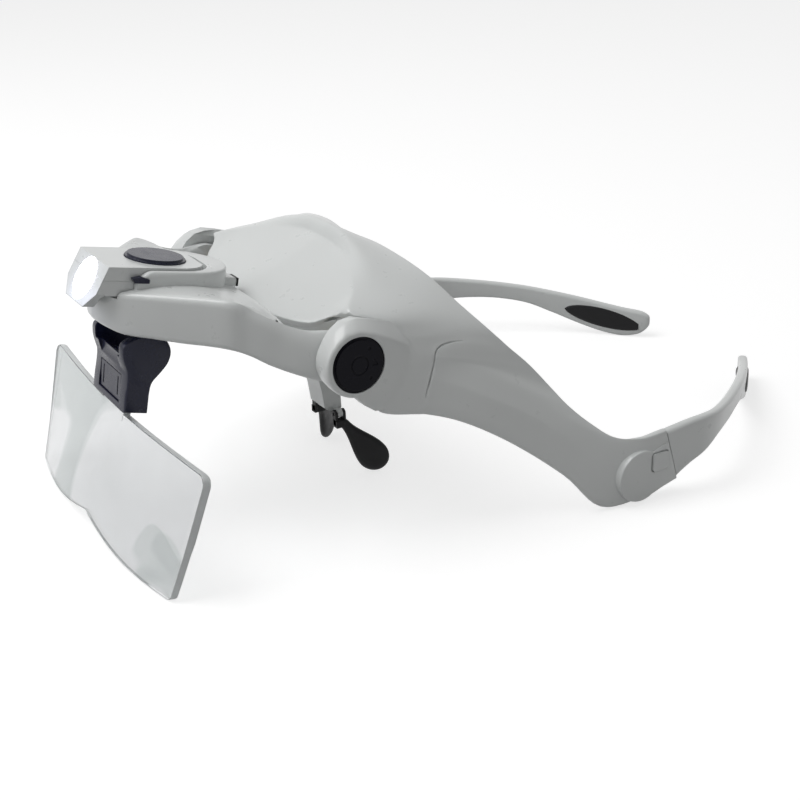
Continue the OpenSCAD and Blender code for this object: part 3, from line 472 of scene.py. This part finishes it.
def side_of_line(y, z, line):
    """Distance behind or below a line in the side view, negative in front of it."""
    best, sign = 1e9, 1
    for (y0, z0), (y1, z1) in zip(line, line[1:]):
        dy, dz = y1 - y0, z1 - z0
        t = max(0, min(1, ((y - y0) * dy + (z - z0) * dz) / (dy * dy + dz * dz)))
        d = math.hypot(y - y0 - t * dy, z - z0 - t * dz)
        if d < best:
            best, sign = d, 1 if (y - y0) * dz - (z - z0) * dy > 0 else -1
    return best * sign


def raised(grid):
    """Lifts the side panel behind its step line, fading out further back."""
    lifted = [list(row) for row in grid]
    for i in range(1, len(grid) - 1):
        for j in range(1, len(grid[0]) - 1):
            x, y, z = grid[i][j]
            if abs(x) < PANEL_X or y < PANEL_FRONT or y > PANEL_REAR:
                continue
            behind = side_of_line(y, z, STEP_LINE)
            rise = STEP_RISE * max(0, min(1, 0.5 + behind / STEP_RUN))
            rise *= max(0, min(1, (PANEL_REAR - y) / PANEL_FADE))
            rise *= max(0, min(1, j / 4)) * max(0, min(1, (len(grid[0]) - 1 - j) / 4))
            a, b = Vector(grid[i + 1][j]), Vector(grid[i - 1][j])
            c, d = Vector(grid[i][j + 1]), Vector(grid[i][j - 1])
            lifted[i][j] = tuple(Vector(grid[i][j]) + (a - b).cross(c - d).normalized() * rise)
    return lifted


def side_finder(grid):
    """Gives the x of the side panel at a place in the side view, or None beside it."""
    m = len(grid[0])
    faces = [(i * m + j, i * m + j + 1, (i + 1) * m + j + 1, (i + 1) * m + j)
             for i in range(len(grid) - 1) for j in range(m - 1)]
    tree = BVHTree.FromPolygons([p for row in grid for p in row], faces)

    def x_at(y, z):
        hit = tree.ray_cast(Vector((90, y, z)), Vector((-1, 0, 0)))[0]
        return hit[0] if hit else None
    return x_at


def groove_cutter(x_at):
    """Fine line moulded in front of the raised panel, running out at both ends."""
    line = curve(STEP_LINE[1:-1], 5)
    rings = []
    for i in range(1, len(line) - 1):
        (y0, z0), (y1, z1), (y, z) = line[i - 1], line[i + 1], line[i]
        reach = math.hypot(y1 - y0, z1 - z0)
        ny, nz = (z0 - z1) / reach, (y1 - y0) / reach
        x = x_at(y, z)
        if x is None:
            continue
        deep = GROOVE_DEPTH * min(1, i / 5, (len(line) - 1 - i) / 7)
        low, high = GROOVE_HALF * 0.7, GROOVE_HALF * 2
        rings.append([(x - deep, y + ny * low, z + nz * low), (x - deep, y - ny * low, z - nz * low),
                      (x + GROOVE_OPEN, y - ny * high, z - nz * high),
                      (x + GROOVE_OPEN, y + ny * high, z + nz * high)])
    return Shape().rings(rings).mirrored().object("cutter")


def shell_grid():
    """Outer face of the shell: one row a station, from the brow's edge over to the rim."""
    # Stations stand closer together round the corner between brow and side.
    spots = [k / 5 for k in range(7 * 5)] + [7 + k / 18 for k in range(3 * 18)]
    spots += [10 + k / 6 for k in range(4 * 6 + 1)]
    half = []
    for u in spots:
        b, c, s, r = (curve_at(line, u) for line in (BROW, CREASE, SHOULDER, RIM))
        half.append(smooth_row([along(b, c, k / 15) for k in range(15)] + curve([c, s, r], 14), 3))
    return raised([[(-x, y, z) for x, y, z in row] for row in half[:0:-1]] + half)


BOSS_IN, BOSS_OUT, BOSS_R, HUB_R = 45.6, 52.5, 9, 7.9
# Radius and inner end of the room for the cap, the screw's head and its thread.
BORES = [(7.5, BOSS_OUT - 1.5), (3.2, BOSS_OUT - 3.5), (1.7, BOSS_IN - 2)]
SINK_FROM, SINK_RUN, SINK_DEPTH = 9.2, 9, 0.25
CHEEK_IN = 48.2
# The cheek's outline in y and z, at its inner and its outer face.
CHEEK_TOP = [((47.3, 58.8), (46.6, 57.6)), ((49.2, 61), (48.4, 59.4)), ((52, 62.8), (51, 61)),
             ((55.5, 63.2), (54.6, 61.2)), ((60, 62), (59, 59.8)), ((65, 60.3), (64.4, 57)),
             ((70, 57), (70, 53.6))]
CHEEK_REAR = [(73.2, 50), (73.2, 45), (73.2, 40.5), (68, 37), (62, 37.6), (58.2, 38.1), (55.2, 40.3)]


def cheek_rings(x_at):
    """Boss and cheek as one block that sinks into the side panel away from the pivot."""
    front = [(BOSS_IN, p, p) for p in arc(*PIVOT, BOSS_R, 262, 150, 36)]
    top = [(BOSS_IN if a[0] < 58 else CHEEK_IN, a, b) for a, b in CHEEK_TOP]
    rear = [(CHEEK_IN, p, p) for p in CHEEK_REAR]
    around = front + top + rear
    cy = sum(p[1][0] for p in around) / len(around)
    cz = sum(p[1][1] for p in around) / len(around)

    def ring(x, t, inset):
        points = []
        for start, a, b in around:
            y, z = a[0] + (b[0] - a[0]) * t, a[1] + (b[1] - a[1]) * t
            away = math.hypot(y - cy, z - cz)
            k = inset / away
            points.append((start if x is None else x, y - (y - cy) * k, z - (z - cz) * k))
        return points

    def settled(x, y, z):
        away = max(0, min(1, (math.hypot(y - PIVOT[0], z - PIVOT[1]) - SINK_FROM) / SINK_RUN))
        panel = x_at(y, z)
        if panel is not None:
            bed = max(panel - SINK_DEPTH, CHEEK_IN + 0.1)
            x += min(0, bed - x) * away * away * (3 - 2 * away)
        return x, y, z
    rings = [ring(None, 0, 0.4), ring(CHEEK_IN + 0.6, 0, 0), ring(50, 0.35, 0), ring(51.4, 0.8, 0.02),
             ring(51.9, 0.95, 0.14), ring(52.3, 1, 0.4), ring(BOSS_OUT, 1, 0.85)]
    hub = []
    for x, y, z in rings[-1]:
        away = math.hypot(y - PIVOT[0], z - PIVOT[1])
        k = HUB_R / away
        hub.append((BOSS_OUT, PIVOT[0] + (y - PIVOT[0]) * k, PIVOT[1] + (z - PIVOT[1]) * k))
    rings += [[along(p, q, t / 5) for p, q in zip(rings[-1], hub)] for t in range(1, 6)]
    return [[settled(*p) for p in points] for points in rings]


SOCKET, SOCKET_X = (128.6, 8.6, 7.6), (69.4, 74.4)
SEAM = [(141.15, 4.9), (137.55, 17.2)]
BROW_BLOCK = ((-5, 47, 55.6), (5, 53, 58.9))
# The lip's section, from the shell's front edge, and the stretch of that edge it follows.
LIP = [(0.3, -1), (2, -1), (2, -4.2), (1.4, -4.6), (0.6, -4.4), (0.3, -4)]
LIP_FROM, LIP_RUN = 1.85, 2.05
LATCH_SLOT = ((66, 131.75, 8.85), (80, 137.65, 14.75))


def frame_shell():
    """Sheet of the frame with its cheeks, sockets, brow block and the lip under its front edge."""
    grid = shell_grid()
    x_at = side_finder(grid)
    sheet = Shape().rings(sheet_rings(grid, SHELL_T, 0.7)).object("sheet")
    carve(sheet, groove_cutter(x_at))
    cheeks = Shape().rings(cheek_rings(x_at)).mirrored().object("cheeks")
    lip = Shape().rings([[(x, y + a, z + b) for a, b in LIP]
                         for x, y, z in [curve_at(BROW, LIP_FROM + LIP_RUN * k / 24) for k in range(25)]])
    lip = lip.mirrored().object("lip")
    for side in (-1, 1):
        for r, x in BORES:
            carve(cheeks, prism(arc(*PIVOT, r, 0, 355, 71), *sorted((side * x, side * (BOSS_OUT + 3)))))
    socket = Shape().plate(arc(*SOCKET, 60, 300, 32) + SEAM, *SOCKET_X, 0.5).mirrored().object("socket")
    brow_block = Shape().block(*BROW_BLOCK, 0.6).object("brow_block")
    for side in (-1, 1):
        low, high = LATCH_SLOT
        x = sorted((side * low[0], side * high[0]))
        outline = rounded_box(low[1], high[1], low[2], high[2], 1.1)
        carve(sheet, prism(outline, *x))
        carve(socket, prism(outline, *x))
    dress(merge("frame_shell_skin", sheet, cheeks, lip, socket, brow_block), "frame", "frame_shell")


# Yoke

# Sections from the middle outwards: x; y of the front's foot, front's top and rear;
# z below at the front and rear, z above at the front and rear; radius of the edges.
YOKE_LINE = [
    (0, 3.3, 3.9, 43, 59, 54.6, 68.6, 61.9, 1.6),
    (6, 4.2, 4.8, 43, 58.6, 54.6, 68.8, 61.9, 1.6),
    (12, 6.9, 7.4, 43, 57.7, 54.6, 69.1, 61.9, 1.6),
    (18, 12.1, 12.5, 43, 57.2, 54.4, 69.2, 61.9, 1.7),
    (24, 17.9, 18.2, 42.9, 56.5, 54.2, 69.1, 61.8, 1.8),
    (29, 22.7, 23, 42.8, 56.2, 54, 69, 61.5, 1.9),
    (33.7, 27.3, 27.6, 42.7, 55.4, 53.7, 68.4, 60.9, 2.1),
    (35.8, 31.1, 31.3, 43.4, 53.5, 52.5, 65.8, 60.1, 2.3),
    (38, 34.4, 34.5, 44.5, 51.2, 50.8, 63.6, 59.3, 2.6),
    (40.2, 38.1, 38.1, 46.5, 49, 49, 61.4, 58.5, 3.2),
    (42.3, 41.1, 41.1, 53, 47.2, 47.2, 59.9, 59.2, 4.6),
    (43.9, 44, 44, 57.5, 45.6, 45.6, 59.6, 59.4, 6.2),
    (45.3, 46.5, 46.5, 60.9, 44.9, 44.9, 59.3, 59.3, 7.1)]
DECK_CROWN = 0.07
WELL_HALF, WELL_REAR, WELL_FLOOR, WELL_ROUND = 11.2, -2.5, -4.15, 8.3
COLLAR_HALF, COLLAR_MID, COLLAR_TOP, COLLAR_FRONT = 12.5, -8.3, 3.4, -25
STOP_SIDE = [(-26.2, 1.5), (-24, 2.1), (-21.6, 1.4), (-21.6, 0.4), (-25.6, 0.4)]
POCKET = [(14.2, 11.4), (19, 14.6), (24.4, 19.8), (31, 27), (36, 34), (36.6, 40), (30, 41), (16.5, 41),
          (14.2, 34)]
CATCH = rounded_box(2, 7.5, -4.5, -0.3, 0.7)
CATCH_ROOM = ((-2.2, 6.7, -2.9), (2.2, 10.6, -0.7))
COLLAR_EDGE = [(-8, 0), (1, 0), (2.7, 0), (3.1, 0.12), (3.3, 0.32), (COLLAR_TOP, 0.7)]
COVER_SPOTS = [(20, 20), (33, 36)]
POCKET_H, POST_H, POST_R, COVER_T = 6, 7, 2.2, 1.2
ARM_END = [(7.2, 42.9), (7.2, 45.1), (7, 45.3), (5.6, 45.3), (5.6, 44.7), (2.6, 44.7), (2.6, 42.9)]
CLIP_LUG = [(11.5, 59), (17.5, 59), (17, 52.6), (15.6, 51), (13.4, 51), (12, 52.6)]


def yoke_section(s, steps=7):
    """Closed side outline of the yoke at one station, with a slightly crowned deck."""
    x, y_low, y_high, y_rear, z_bf, z_br, z_tf, z_tr, r = s
    rear, front = y_rear - r, y_high + r
    rise = DECK_CROWN * (rear - front) * 4
    deck = [(rear + (front - rear) * u, z_tr + (z_tf - z_tr) * u + rise * u * (1 - u))
            for u in [k / 12 for k in range(1, 12)]]
    outline = (arc(rear, z_br + r, r, -90, 0, steps) + arc(rear, z_tr - r, r, 0, 90, steps) + deck
               + arc(front, z_tf - r, r, 90, 180, steps) + arc(y_low + r, z_bf + r, r, 180, 270, steps))
    return [(x, y, z) for y, z in outline]


def collar_ring(w, inset):
    """The collar's plan at one height: round behind, straight sides and a leaning front."""
    front = COLLAR_FRONT + max(0, w - 1) * 3.5 / 2.4 + inset
    r = COLLAR_HALF - inset
    plan = arc(0, COLLAR_MID, r, 0, 180, 36)
    plan += [(-r, front + 1.2), (-r + 0.35, front + 0.35), (-r + 1.2, front)]
    plan += [(r - 1.2, front), (r - 0.35, front + 0.35), (r, front + 1.2)]
    return [at_lamp(x, v, w) for x, v in plan]


def well_cutter():
    """Room for the lamp: open in front, round behind."""
    mid_x, mid_v = WELL_HALF - WELL_ROUND, WELL_REAR - WELL_ROUND
    plan = [(-WELL_HALF, -50), (WELL_HALF, -50)] + arc(mid_x, mid_v, WELL_ROUND, 0, 90, 16)
    plan += arc(-mid_x, mid_v, WELL_ROUND, 90, 180, 16)
    return Shape().rings([[at_lamp(x, v, w) for x, v in plan] for w in (WELL_FLOOR, 20)]).object("cutter")


def yoke_shell():
    """Bridge with the lamp's collar and well, the ends of its arms, clip lugs, catch and screw posts."""
    half = [yoke_section(s) for s in curve(YOKE_LINE, 6)]
    rings = [[(-x, y, z) for x, y, z in ring] for ring in half[:0:-1]] + half
    body = Shape().rings(rings).object("yoke_body")
    collar = Shape().rings([collar_ring(w, inset) for w, inset in COLLAR_EDGE]).object("collar")
    ends = Shape().lathe(ARM_END, *PIVOT).mirrored().object("arm_ends")
    lugs = Shape().plate(CLIP_LUG, 5.2, 8.4, 0.3).mirrored().object("lugs")
    catch = Shape().rings([[at_lamp(x, v, w) for v, w in CATCH] for x in (-3, 3)]).object("catch")
    carve(catch, box_cutter(*CATCH_ROOM, at_lamp))
    carve(body, well_cutter())
    carve(collar, well_cutter())
    for side in (-1, 1):
        x = sorted((side * (WELL_HALF - 1), side * (COLLAR_HALF + 1)))
        carve(collar, prism(STOP_SIDE, *x, at_lamp))
        plan = [(side * px, py - COVER_Y) for px, py in POCKET]
        pocket = Shape().rings([[at_cover(*p, z) for p in plan] for z in (-20, POCKET_H)])
        carve(body, pocket.object("cutter"))
    posts = Shape()
    for side in (-1, 1):
        for px, py in COVER_SPOTS:
            ring = arc(side * px, py - COVER_Y, POST_R, 0, 348.75, 31)
            posts.rings([[at_cover(*p, z) for p in ring] for z in (COVER_T, POST_H)])
    skin = merge("yoke_skin", body, collar, ends, lugs, catch, posts.object("posts"))
    dress(skin, "yoke", "yoke_shell")


# Legs and their pads

# Along the leg: x and y of its outer face, z of its lower and its upper edge.
LEG_LINE = [(74.2, 139, 4.9, 20), (74.3, 146, 7.6, 20.9), (74, 152, 9.9, 21), (71.8, 158.5, 12.4, 20.3),
            (67, 166.7, 12.9, 19.3), (61.5, 174.5, 12.5, 18.3), (55.5, 182.2, 10.9, 17),
            (49.5, 189.2, 7.6, 15.4), (43.5, 195.8, 4.1, 13.7), (37.5, 202, 1.3, 11.9),
            (32, 207.4, 0, 10.4), (27.6, 211.4, 0.9, 9.6), (24.4, 214.2, 3.3, 8.8)]
TONGUE, TONGUE_X = rounded_box(127.5, 143, 7, 15.8, 0.5), (71.2, 73)
LEG_T, LEG_EDGE = 3, 1.1
PAD_AT, PAD_BEFORE, PAD_AFTER, PAD_SHIFT = 9, 1.75, 2.1, 1.2
PAD_L, PAD_H = 28, 7.6
PAD_PROUD = 0.45
SEAM_TOP, SEAM_BACK, SEAM_GAP = (136.8, 19.9), 0.29, 0.2


def leg_frame(u):
    """Outer face point, inward direction and edges at a place along the leg."""
    p = curve_at(LEG_LINE, u)
    a, b = curve_at(LEG_LINE, max(0, u - 0.25)), curve_at(LEG_LINE, min(len(LEG_LINE) - 1, u + 0.25))
    d = Vector((b[0] - a[0], b[1] - a[1])).normalized()
    return p, Vector((-d[1], d[0])), d


def leg_ring(u):
    """Section of the leg, thinning out at its tip and cut slanting at the socket's seam."""
    p, inward, _ = leg_frame(u)
    end = max(0, min(1, (len(LEG_LINE) - 1 - u) / 0.9))
    round_off = math.sqrt(1 - (1 - end) ** 2) if end < 1 else 1
    mid = (p[2] + p[3]) / 2
    t = LEG_T * (0.35 + 0.65 * round_off)
    spread = 0.3 + 0.7 * round_off
    low, high = mid + (p[2] - mid) * spread, mid + (p[3] - mid) * spread
    e = min(LEG_EDGE, t * 0.45)
    start = (LEG_T - t) / 2
    ring = []
    for z, s in (arc(high - e, start + t - e, e, 0, 90, 5) + arc(low + e, start + t - e, e, 90, 180, 5)
                 + arc(low + e, start + e, e, 180, 270, 5) + arc(high - e, start + e, e, 270, 360, 5)):
        y = p[1] + inward[1] * s
        lean = max(0, 1 - (p[1] - LEG_LINE[0][1]) / 7)
        y += lean * (SEAM_TOP[0] + SEAM_BACK * (SEAM_TOP[1] - z) + SEAM_GAP - LEG_LINE[0][1])
        ring.append((p[0] + inward[0] * s, y, z))
    return ring


def pad_ring(u, middle, slope):
    """Pointed oval pad, crowned on both faces, at one place along the leg."""
    p, inward, d = leg_frame(u)
    s = (Vector((p[0], p[1])) - middle[0]).dot(middle[1])
    reach = max(0.0, 1 - (2 * s / PAD_L) ** 2) ** 0.62
    half = PAD_H / 2 * reach
    crown = LEG_T / 2 + PAD_PROUD * min(1, 3 * reach) - (0.3 if reach < 0.05 else 0)
    mid_z = middle[2] + s * slope
    ring = []
    for k in range(28):
        c, q = math.cos(2 * math.pi * k / 28), math.sin(2 * math.pi * k / 28)
        z = mid_z + half * math.copysign(abs(c) ** 0.55, c)
        n = LEG_T / 2 + crown * math.copysign(abs(q) ** 0.35, q)
        ring.append((p[0] + inward[0] * n, p[1] + inward[1] * n, z))
    return ring


def legs():
    """Legs with the tongues that their latches hold, and the oval pads round their tips."""
    last = len(LEG_LINE) - 1
    spots = [k * last / 90 for k in range(84)] + [last - 0.85 * (1 - k / 10) ** 1.5 for k in range(11)]
    p, inward, d = leg_frame(PAD_AT)
    a, b = LEG_LINE[PAD_AT - 1], LEG_LINE[PAD_AT + 1]
    slope = (b[3] - a[3]) / math.hypot(b[0] - a[0], b[1] - a[1])
    middle = (Vector((p[0], p[1])) + d * PAD_SHIFT, d, (p[2] + p[3]) / 2)
    pad_spots = [PAD_AT - PAD_BEFORE + (PAD_BEFORE + PAD_AFTER) * k / 40 for k in range(41)]
    pad_spots = [u for u in pad_spots
                 if abs((Vector(curve_at(LEG_LINE, u)[:2]) - middle[0]).dot(d)) < PAD_L / 2]
    for side, sign in (("left", 1), ("right", -1)):
        leg = [[(sign * x, y, z) for x, y, z in leg_ring(u)] for u in sorted(spots)]
        leg = Shape().rings(leg).object("leg")
        tongue = Shape().rings([[(sign * x, *p) for p in TONGUE] for x in TONGUE_X]).object("tongue")
        low, high = LATCH_SLOT
        room = rounded_box(low[1], high[1], low[2], high[2], 0.3)
        carve(tongue, prism(room, *sorted((sign * 60, sign * 80))))
        dress(merge("leg_skin_" + side, leg, tongue), "frame", "leg_" + side)
        pad = [[(sign * x, y, z) for x, y, z in pad_ring(u, middle, slope)] for u in pad_spots]
        pad = Shape().rings(pad)
        piece = dress(pad.object("leg_pad_skin_" + side), "frame", "leg_pad_" + side)


# Nose pads

PAD_TOP = Vector((7.4, 72.2, 14.2))
PAD_LOBE = Vector((14.2, 77.4, 5.4))
PAD_SPLAY = math.radians(50)
PAD_NARROW, PAD_SWELL = 1.5, 3.45
AXLE = (6.2, 71.1, 17.4)
EARS, EAR_T, EAR_R, EAR_FOOT = (-1.7, 0.95), 0.75, 1.2, 13.9
PAD_ROOT = [(-0.4, 13.4), (1.8, 13.4), (1.8, 15.5), (-0.4, 15.8)]


def nose_pads():
    """Cushioned drops that widen downwards, each with two ears round its axle."""
    normal = Vector((-math.sin(PAD_SPLAY), math.cos(PAD_SPLAY), 0))
    axis = PAD_LOBE - PAD_TOP
    axis = (axis - normal * axis.dot(normal)).normalized()
    across = normal.cross(axis)
    line = PAD_LOBE - PAD_TOP

    def reach(t):
        return PAD_NARROW + PAD_SWELL * (3 * t * t - 2 * t ** 3)
    edge = [(t, 1.0, 0.0) for t in [k / 14 for k in range(15)]]
    edge += [(1, math.cos(a), math.sin(a)) for a in [math.pi * k / 18 for k in range(1, 18)]]
    edge += [(t, -1.0, 0.0) for t in [1 - k / 14 for k in range(15)]]
    edge += [(0, -math.cos(a), -math.sin(a)) for a in [math.pi * k / 8 for k in range(1, 8)]]
    for side, sign in (("left", 1), ("right", -1)):
        rings = []
        for a in [-90 + 180 * k / 12 for k in range(13)]:
            size, lift = math.cos(math.radians(a)) ** 0.6, math.sin(math.radians(a))
            ring = []
            for t, b, c in edge:
                p = PAD_TOP + line * t + (across * b + axis * c) * reach(t) * max(0.02, size)
                p += normal * lift * (0.85 + 0.65 * t)
                ring.append((sign * p[0], p[1], p[2]))
            rings.append(ring)
        pad = Shape().rings(rings)
        ear = arc(AXLE[0], AXLE[2], EAR_R, 0, 180, 12)
        ear += [(AXLE[0] - 0.4, EAR_FOOT), (AXLE[0] + EAR_R, EAR_FOOT)]
        for near in EARS:
            y = AXLE[1] + near
            pad.rings([[(sign * x, y + t, z) for x, z in ear] for t in (0, EAR_T)])
        pad.rings([[(sign * (AXLE[0] + x), AXLE[1] + y, z) for x, z in PAD_ROOT] for y in (-1.7, 1.7)])
        piece = dress(pad.object("nose_pad_skin_" + side), "nose_pad_" + side, "nose_pad_" + side)


# Lens plate

LENS_TOP, LENS_TOP_HALF, LENS_BOTTOM_HALF = 34, 55, 49.8
LENS_T, LENS_LEAN, LENS_MID = 2.2, 22.2, -6.7
NOTCH_Z, LENS_FOOT = 5.3, 0.65
LENS_SIDE_LEAN, LENS_BEND = 0.29, 1.6
TAB_HALF, TAB_RISE = 7.5, 12
LENS_CORNER = 2.4


def lens_mid_y(z):
    """Middle line of the leaning plate, halfway through its thickness."""
    return LENS_MID + z * math.tan(math.radians(LENS_LEAN))


def lens_point(side, s, v):
    """Front face of the bent plate, at s out from the middle and v up from the foot."""
    low = LENS_FOOT + max(0, NOTCH_Z * (1 - s) - 1.7 * math.sin(math.pi * s))
    past = max(0, LENS_CORNER - LENS_TOP_HALF * (1 - s))
    cut = LENS_CORNER - math.sqrt(max(0, LENS_CORNER ** 2 - past ** 2))
    z = low + cut * 0.5 + (LENS_TOP - low - cut * 1.5) * v
    x = side * (LENS_BOTTOM_HALF + (LENS_TOP_HALF - LENS_BOTTOM_HALF) * v) * s
    t = min(1, abs(x) / 52) ** LENS_BEND
    return (x, lens_mid_y(z) * (1 - t) + LENS_SIDE_LEAN * z * t - LENS_T / 2, z)


def lens_plate():
    """Bent plate joined to its tab, with duller cut edges."""
    cols, rows = 30, 8
    across = [math.sin(math.pi / 2 * i / cols) for i in range(cols + 1)]
    grid = [[lens_point(-1 if i < 0 else 1, across[abs(i)], j / rows) for j in range(rows + 1)]
            for i in range(-cols, cols + 1)]
    plate = Shape().rings(sheet_rings(grid, LENS_T, 0.25)).object("lens_sheet")
    at_tab = tilted(lens_mid_y(LENS_TOP), LENS_TOP, LENS_LEAN)
    tab = box_cutter((-TAB_HALF, -LENS_T / 2 + 0.1, -2), (TAB_HALF, LENS_T / 2 - 0.1, TAB_RISE), at_tab)
    join = plate.modifiers.new("join", "BOOLEAN")
    join.operation = "UNION"
    join.solver = "EXACT"
    join.object = tab
    bpy.context.view_layer.update()
    joined = bpy.data.meshes.new_from_object(plate.evaluated_get(bpy.context.evaluated_depsgraph_get()))
    bpy.data.objects.remove(plate)
    bpy.data.objects.remove(tab)
    skin = dress(finish_mesh("lens_skin", joined, 30), "lens", "lens_plate")
    skin.data.materials.append(lens_edge)
    through = Vector(at_tab(0, 1, 0)) - Vector(at_tab(0, 0, 0))
    for face in skin.data.polygons:
        if abs(face.normal.dot(through)) < 0.5:
            face.material_index = 1


# Lens clip

CLIP_W = 24
# The clip from the side, and the room between its cheeks, in y and z.
CLIP_SIDE = [(4.9, 36.3), (11.2, 34.5), (11.9, 37.6), (12.6, 40.4), (13.7, 42.8), (16.4, 45), (18.8, 47.4),
             (19.9, 50.2), (19.4, 52.8), (18, 54.9), (16.4, 56.1), (14.5, 56.6), (12.6, 56.5), (10.4, 56),
             (7.2, 54.8), (6.5, 52.4), (6.6, 50), (7.1, 47), (6.6, 43.6), (5.7, 40)]
THUMB_SPACE = [(9.6, 48.2), (13.2, 46.4), (25, 46.4), (25, 62), (0, 62), (0, 52.4), (8.2, 50.6)]
KNUCKLE = (1.2, 50.2, 6.4)
LATCH_HALF, LATCH_H = 7.4, 7.4


def clip_body():
    """Clip with its thumb scoop, knuckle bore, slot for the lens tab and latch window."""
    smooth = [CLIP_SIDE[0]] + curve(CLIP_SIDE[1:], 4)
    body = Shape().plate(smooth, -CLIP_W / 2, CLIP_W / 2, 0.9).object("clip")
    carve(body, prism(THUMB_SPACE, -9, 9))
    carve(body, prism(arc(*KNUCKLE, 0, 355, 60), -7, 7))
    at_tab = tilted(lens_mid_y(LENS_TOP), LENS_TOP, LENS_LEAN)
    carve(body, box_cutter((-TAB_HALF - 0.15, -1.22, -3), (TAB_HALF + 0.15, 1.22, 12.6), at_tab))
    half = LATCH_HALF + 0.25
    carve(body, box_cutter((-half, -2, -0.2), (half, 1.5, LATCH_H + 0.25), at_latch))
    dress(body, "clip", "clip_body")


# Lamp window

WINDOW_AT, WINDOW_R, DOME = (-34, -1.6), 5.8, 1.1
FACE_LEAN = math.radians(21.6)


def lamp_window():
    """Lit window, slightly domed."""
    sin, cos = math.sin(FACE_LEAN), math.cos(FACE_LEAN)

    def on_face(r, a, c):
        b = r * math.sin(a)
        v, w = WINDOW_AT[0] + b * sin - c * cos, WINDOW_AT[1] + b * cos + c * sin
        return at_lamp(r * math.cos(a), v, w)
    profile = [(WINDOW_R, -0.85), (WINDOW_R, 0)]
    for a in range(10, 90, 10):
        profile.append((WINDOW_R * math.cos(math.radians(a)), DOME * math.sin(math.radians(a))))
    profile.append((0.05, DOME))
    turns = [2 * math.pi * k / 64 for k in range(64)]
    window = Shape().rings([[on_face(r, a, c) for a in turns] for r, c in profile])
    dress(window.object("lamp_window_skin"), "lamp", "lamp_window", window_mat)


frame_shell()
yoke_shell()
lamp_window()
legs()
nose_pads()
lens_plate()
clip_body()
for name in ("pivot_cap_left", "pivot_cap_right"):
    NODES[name].data.materials[0] = cap_black


# Stage

FLOOR_GREY, FLOOR_GLOW = (0.45, 0.45, 0.45, 1), 0.7
WORLD_LIGHT, WORLD_SEEN = 0.3, 1.0
GLOW_AT, GLOW_SIZE = (0, -43, -4), 5 * MM


def seen_in_picture(nodes, links):
    """One for what the camera, clear parts and reflections see, nought for the light on surfaces."""
    path = nodes.new("ShaderNodeLightPath")
    output = path.outputs["Is Camera Ray"]
    for ray in ("Is Transmission Ray", "Is Glossy Ray"):
        either = nodes.new("ShaderNodeMath")
        either.operation = "MAXIMUM"
        links.new(output, either.inputs[0])
        links.new(path.outputs[ray], either.inputs[1])
        output = either.outputs[0]
    return output


def backdrop():
    """Wide pale floor."""
    mesh = bpy.data.meshes.new("floor")
    mesh.from_pydata([(-4, -4, 0), (4, -4, 0), (4, 4, 0), (-4, 4, 0)], [], [(0, 1, 2, 3)])
    obj = bpy.data.objects.new("floor", mesh)
    scene.collection.objects.link(obj)
    m = bpy.data.materials.new("floor_white")
    m.use_nodes = True
    nodes, links = m.node_tree.nodes, m.node_tree.links
    nodes.clear()
    out = nodes.new("ShaderNodeOutputMaterial")
    diffuse = nodes.new("ShaderNodeBsdfDiffuse")
    diffuse.inputs["Color"].default_value = FLOOR_GREY
    glow = nodes.new("ShaderNodeEmission")
    both = nodes.new("ShaderNodeAddShader")
    scale = nodes.new("ShaderNodeMath")
    scale.operation = "MULTIPLY"
    scale.inputs[1].default_value = FLOOR_GLOW
    links.new(seen_in_picture(nodes, links), scale.inputs[0])
    links.new(scale.outputs[0], glow.inputs["Strength"])
    links.new(diffuse.outputs[0], both.inputs[0])
    links.new(glow.outputs[0], both.inputs[1])
    links.new(both.outputs[0], out.inputs["Surface"])
    mesh.materials.append(m)


backdrop()

world = bpy.data.worlds.new("world")
scene.world = world
world.use_nodes = True
wn, wl = world.node_tree.nodes, world.node_tree.links
sky = wn["Background"]
sky.inputs["Color"].default_value = (1, 1, 1, 1)
level = wn.new("ShaderNodeMapRange")
level.inputs["To Min"].default_value = WORLD_LIGHT
level.inputs["To Max"].default_value = WORLD_SEEN
wl.new(seen_in_picture(wn, wl), level.inputs["Value"])
wl.new(level.outputs["Result"], sky.inputs["Strength"])


def softbox(name, at, target, size, power):
    """Soft rectangular light aimed at a point, all in metres and watts."""
    data = bpy.data.lights.new(name, "AREA")
    data.shape = "RECTANGLE"
    data.size, data.size_y = size
    data.energy = power
    obj = bpy.data.objects.new(name, data)
    scene.collection.objects.link(obj)
    obj.location = at
    obj.rotation_mode = "QUATERNION"
    obj.rotation_quaternion = (Vector(target) - Vector(at)).to_track_quat("-Z", "Y")


glow = bpy.data.lights.new("window_glow", "POINT")
glow.energy = 0.002
glow.color = (0.72, 0.76, 1)
glow.shadow_soft_size = GLOW_SIZE
glow_at = bpy.data.objects.new("window_glow", glow)
glow_at.location = place(at_lamp(*GLOW_AT))
scene.collection.objects.link(glow_at)
softbox("top_light", (-0.18, -0.38, 0.76), (0, -0.02, 0.05), (0.55, 0.55), 4.1)
softbox("side_light", (0.75, -0.1, 0.45), (0, 0, 0.04), (0.5, 0.4), 0.15)
softbox("front_light", (-0.3, -0.8, 0.4), (0, 0, 0.04), (0.4, 0.4), 0.7)

scene.view_settings.view_transform = "Standard"
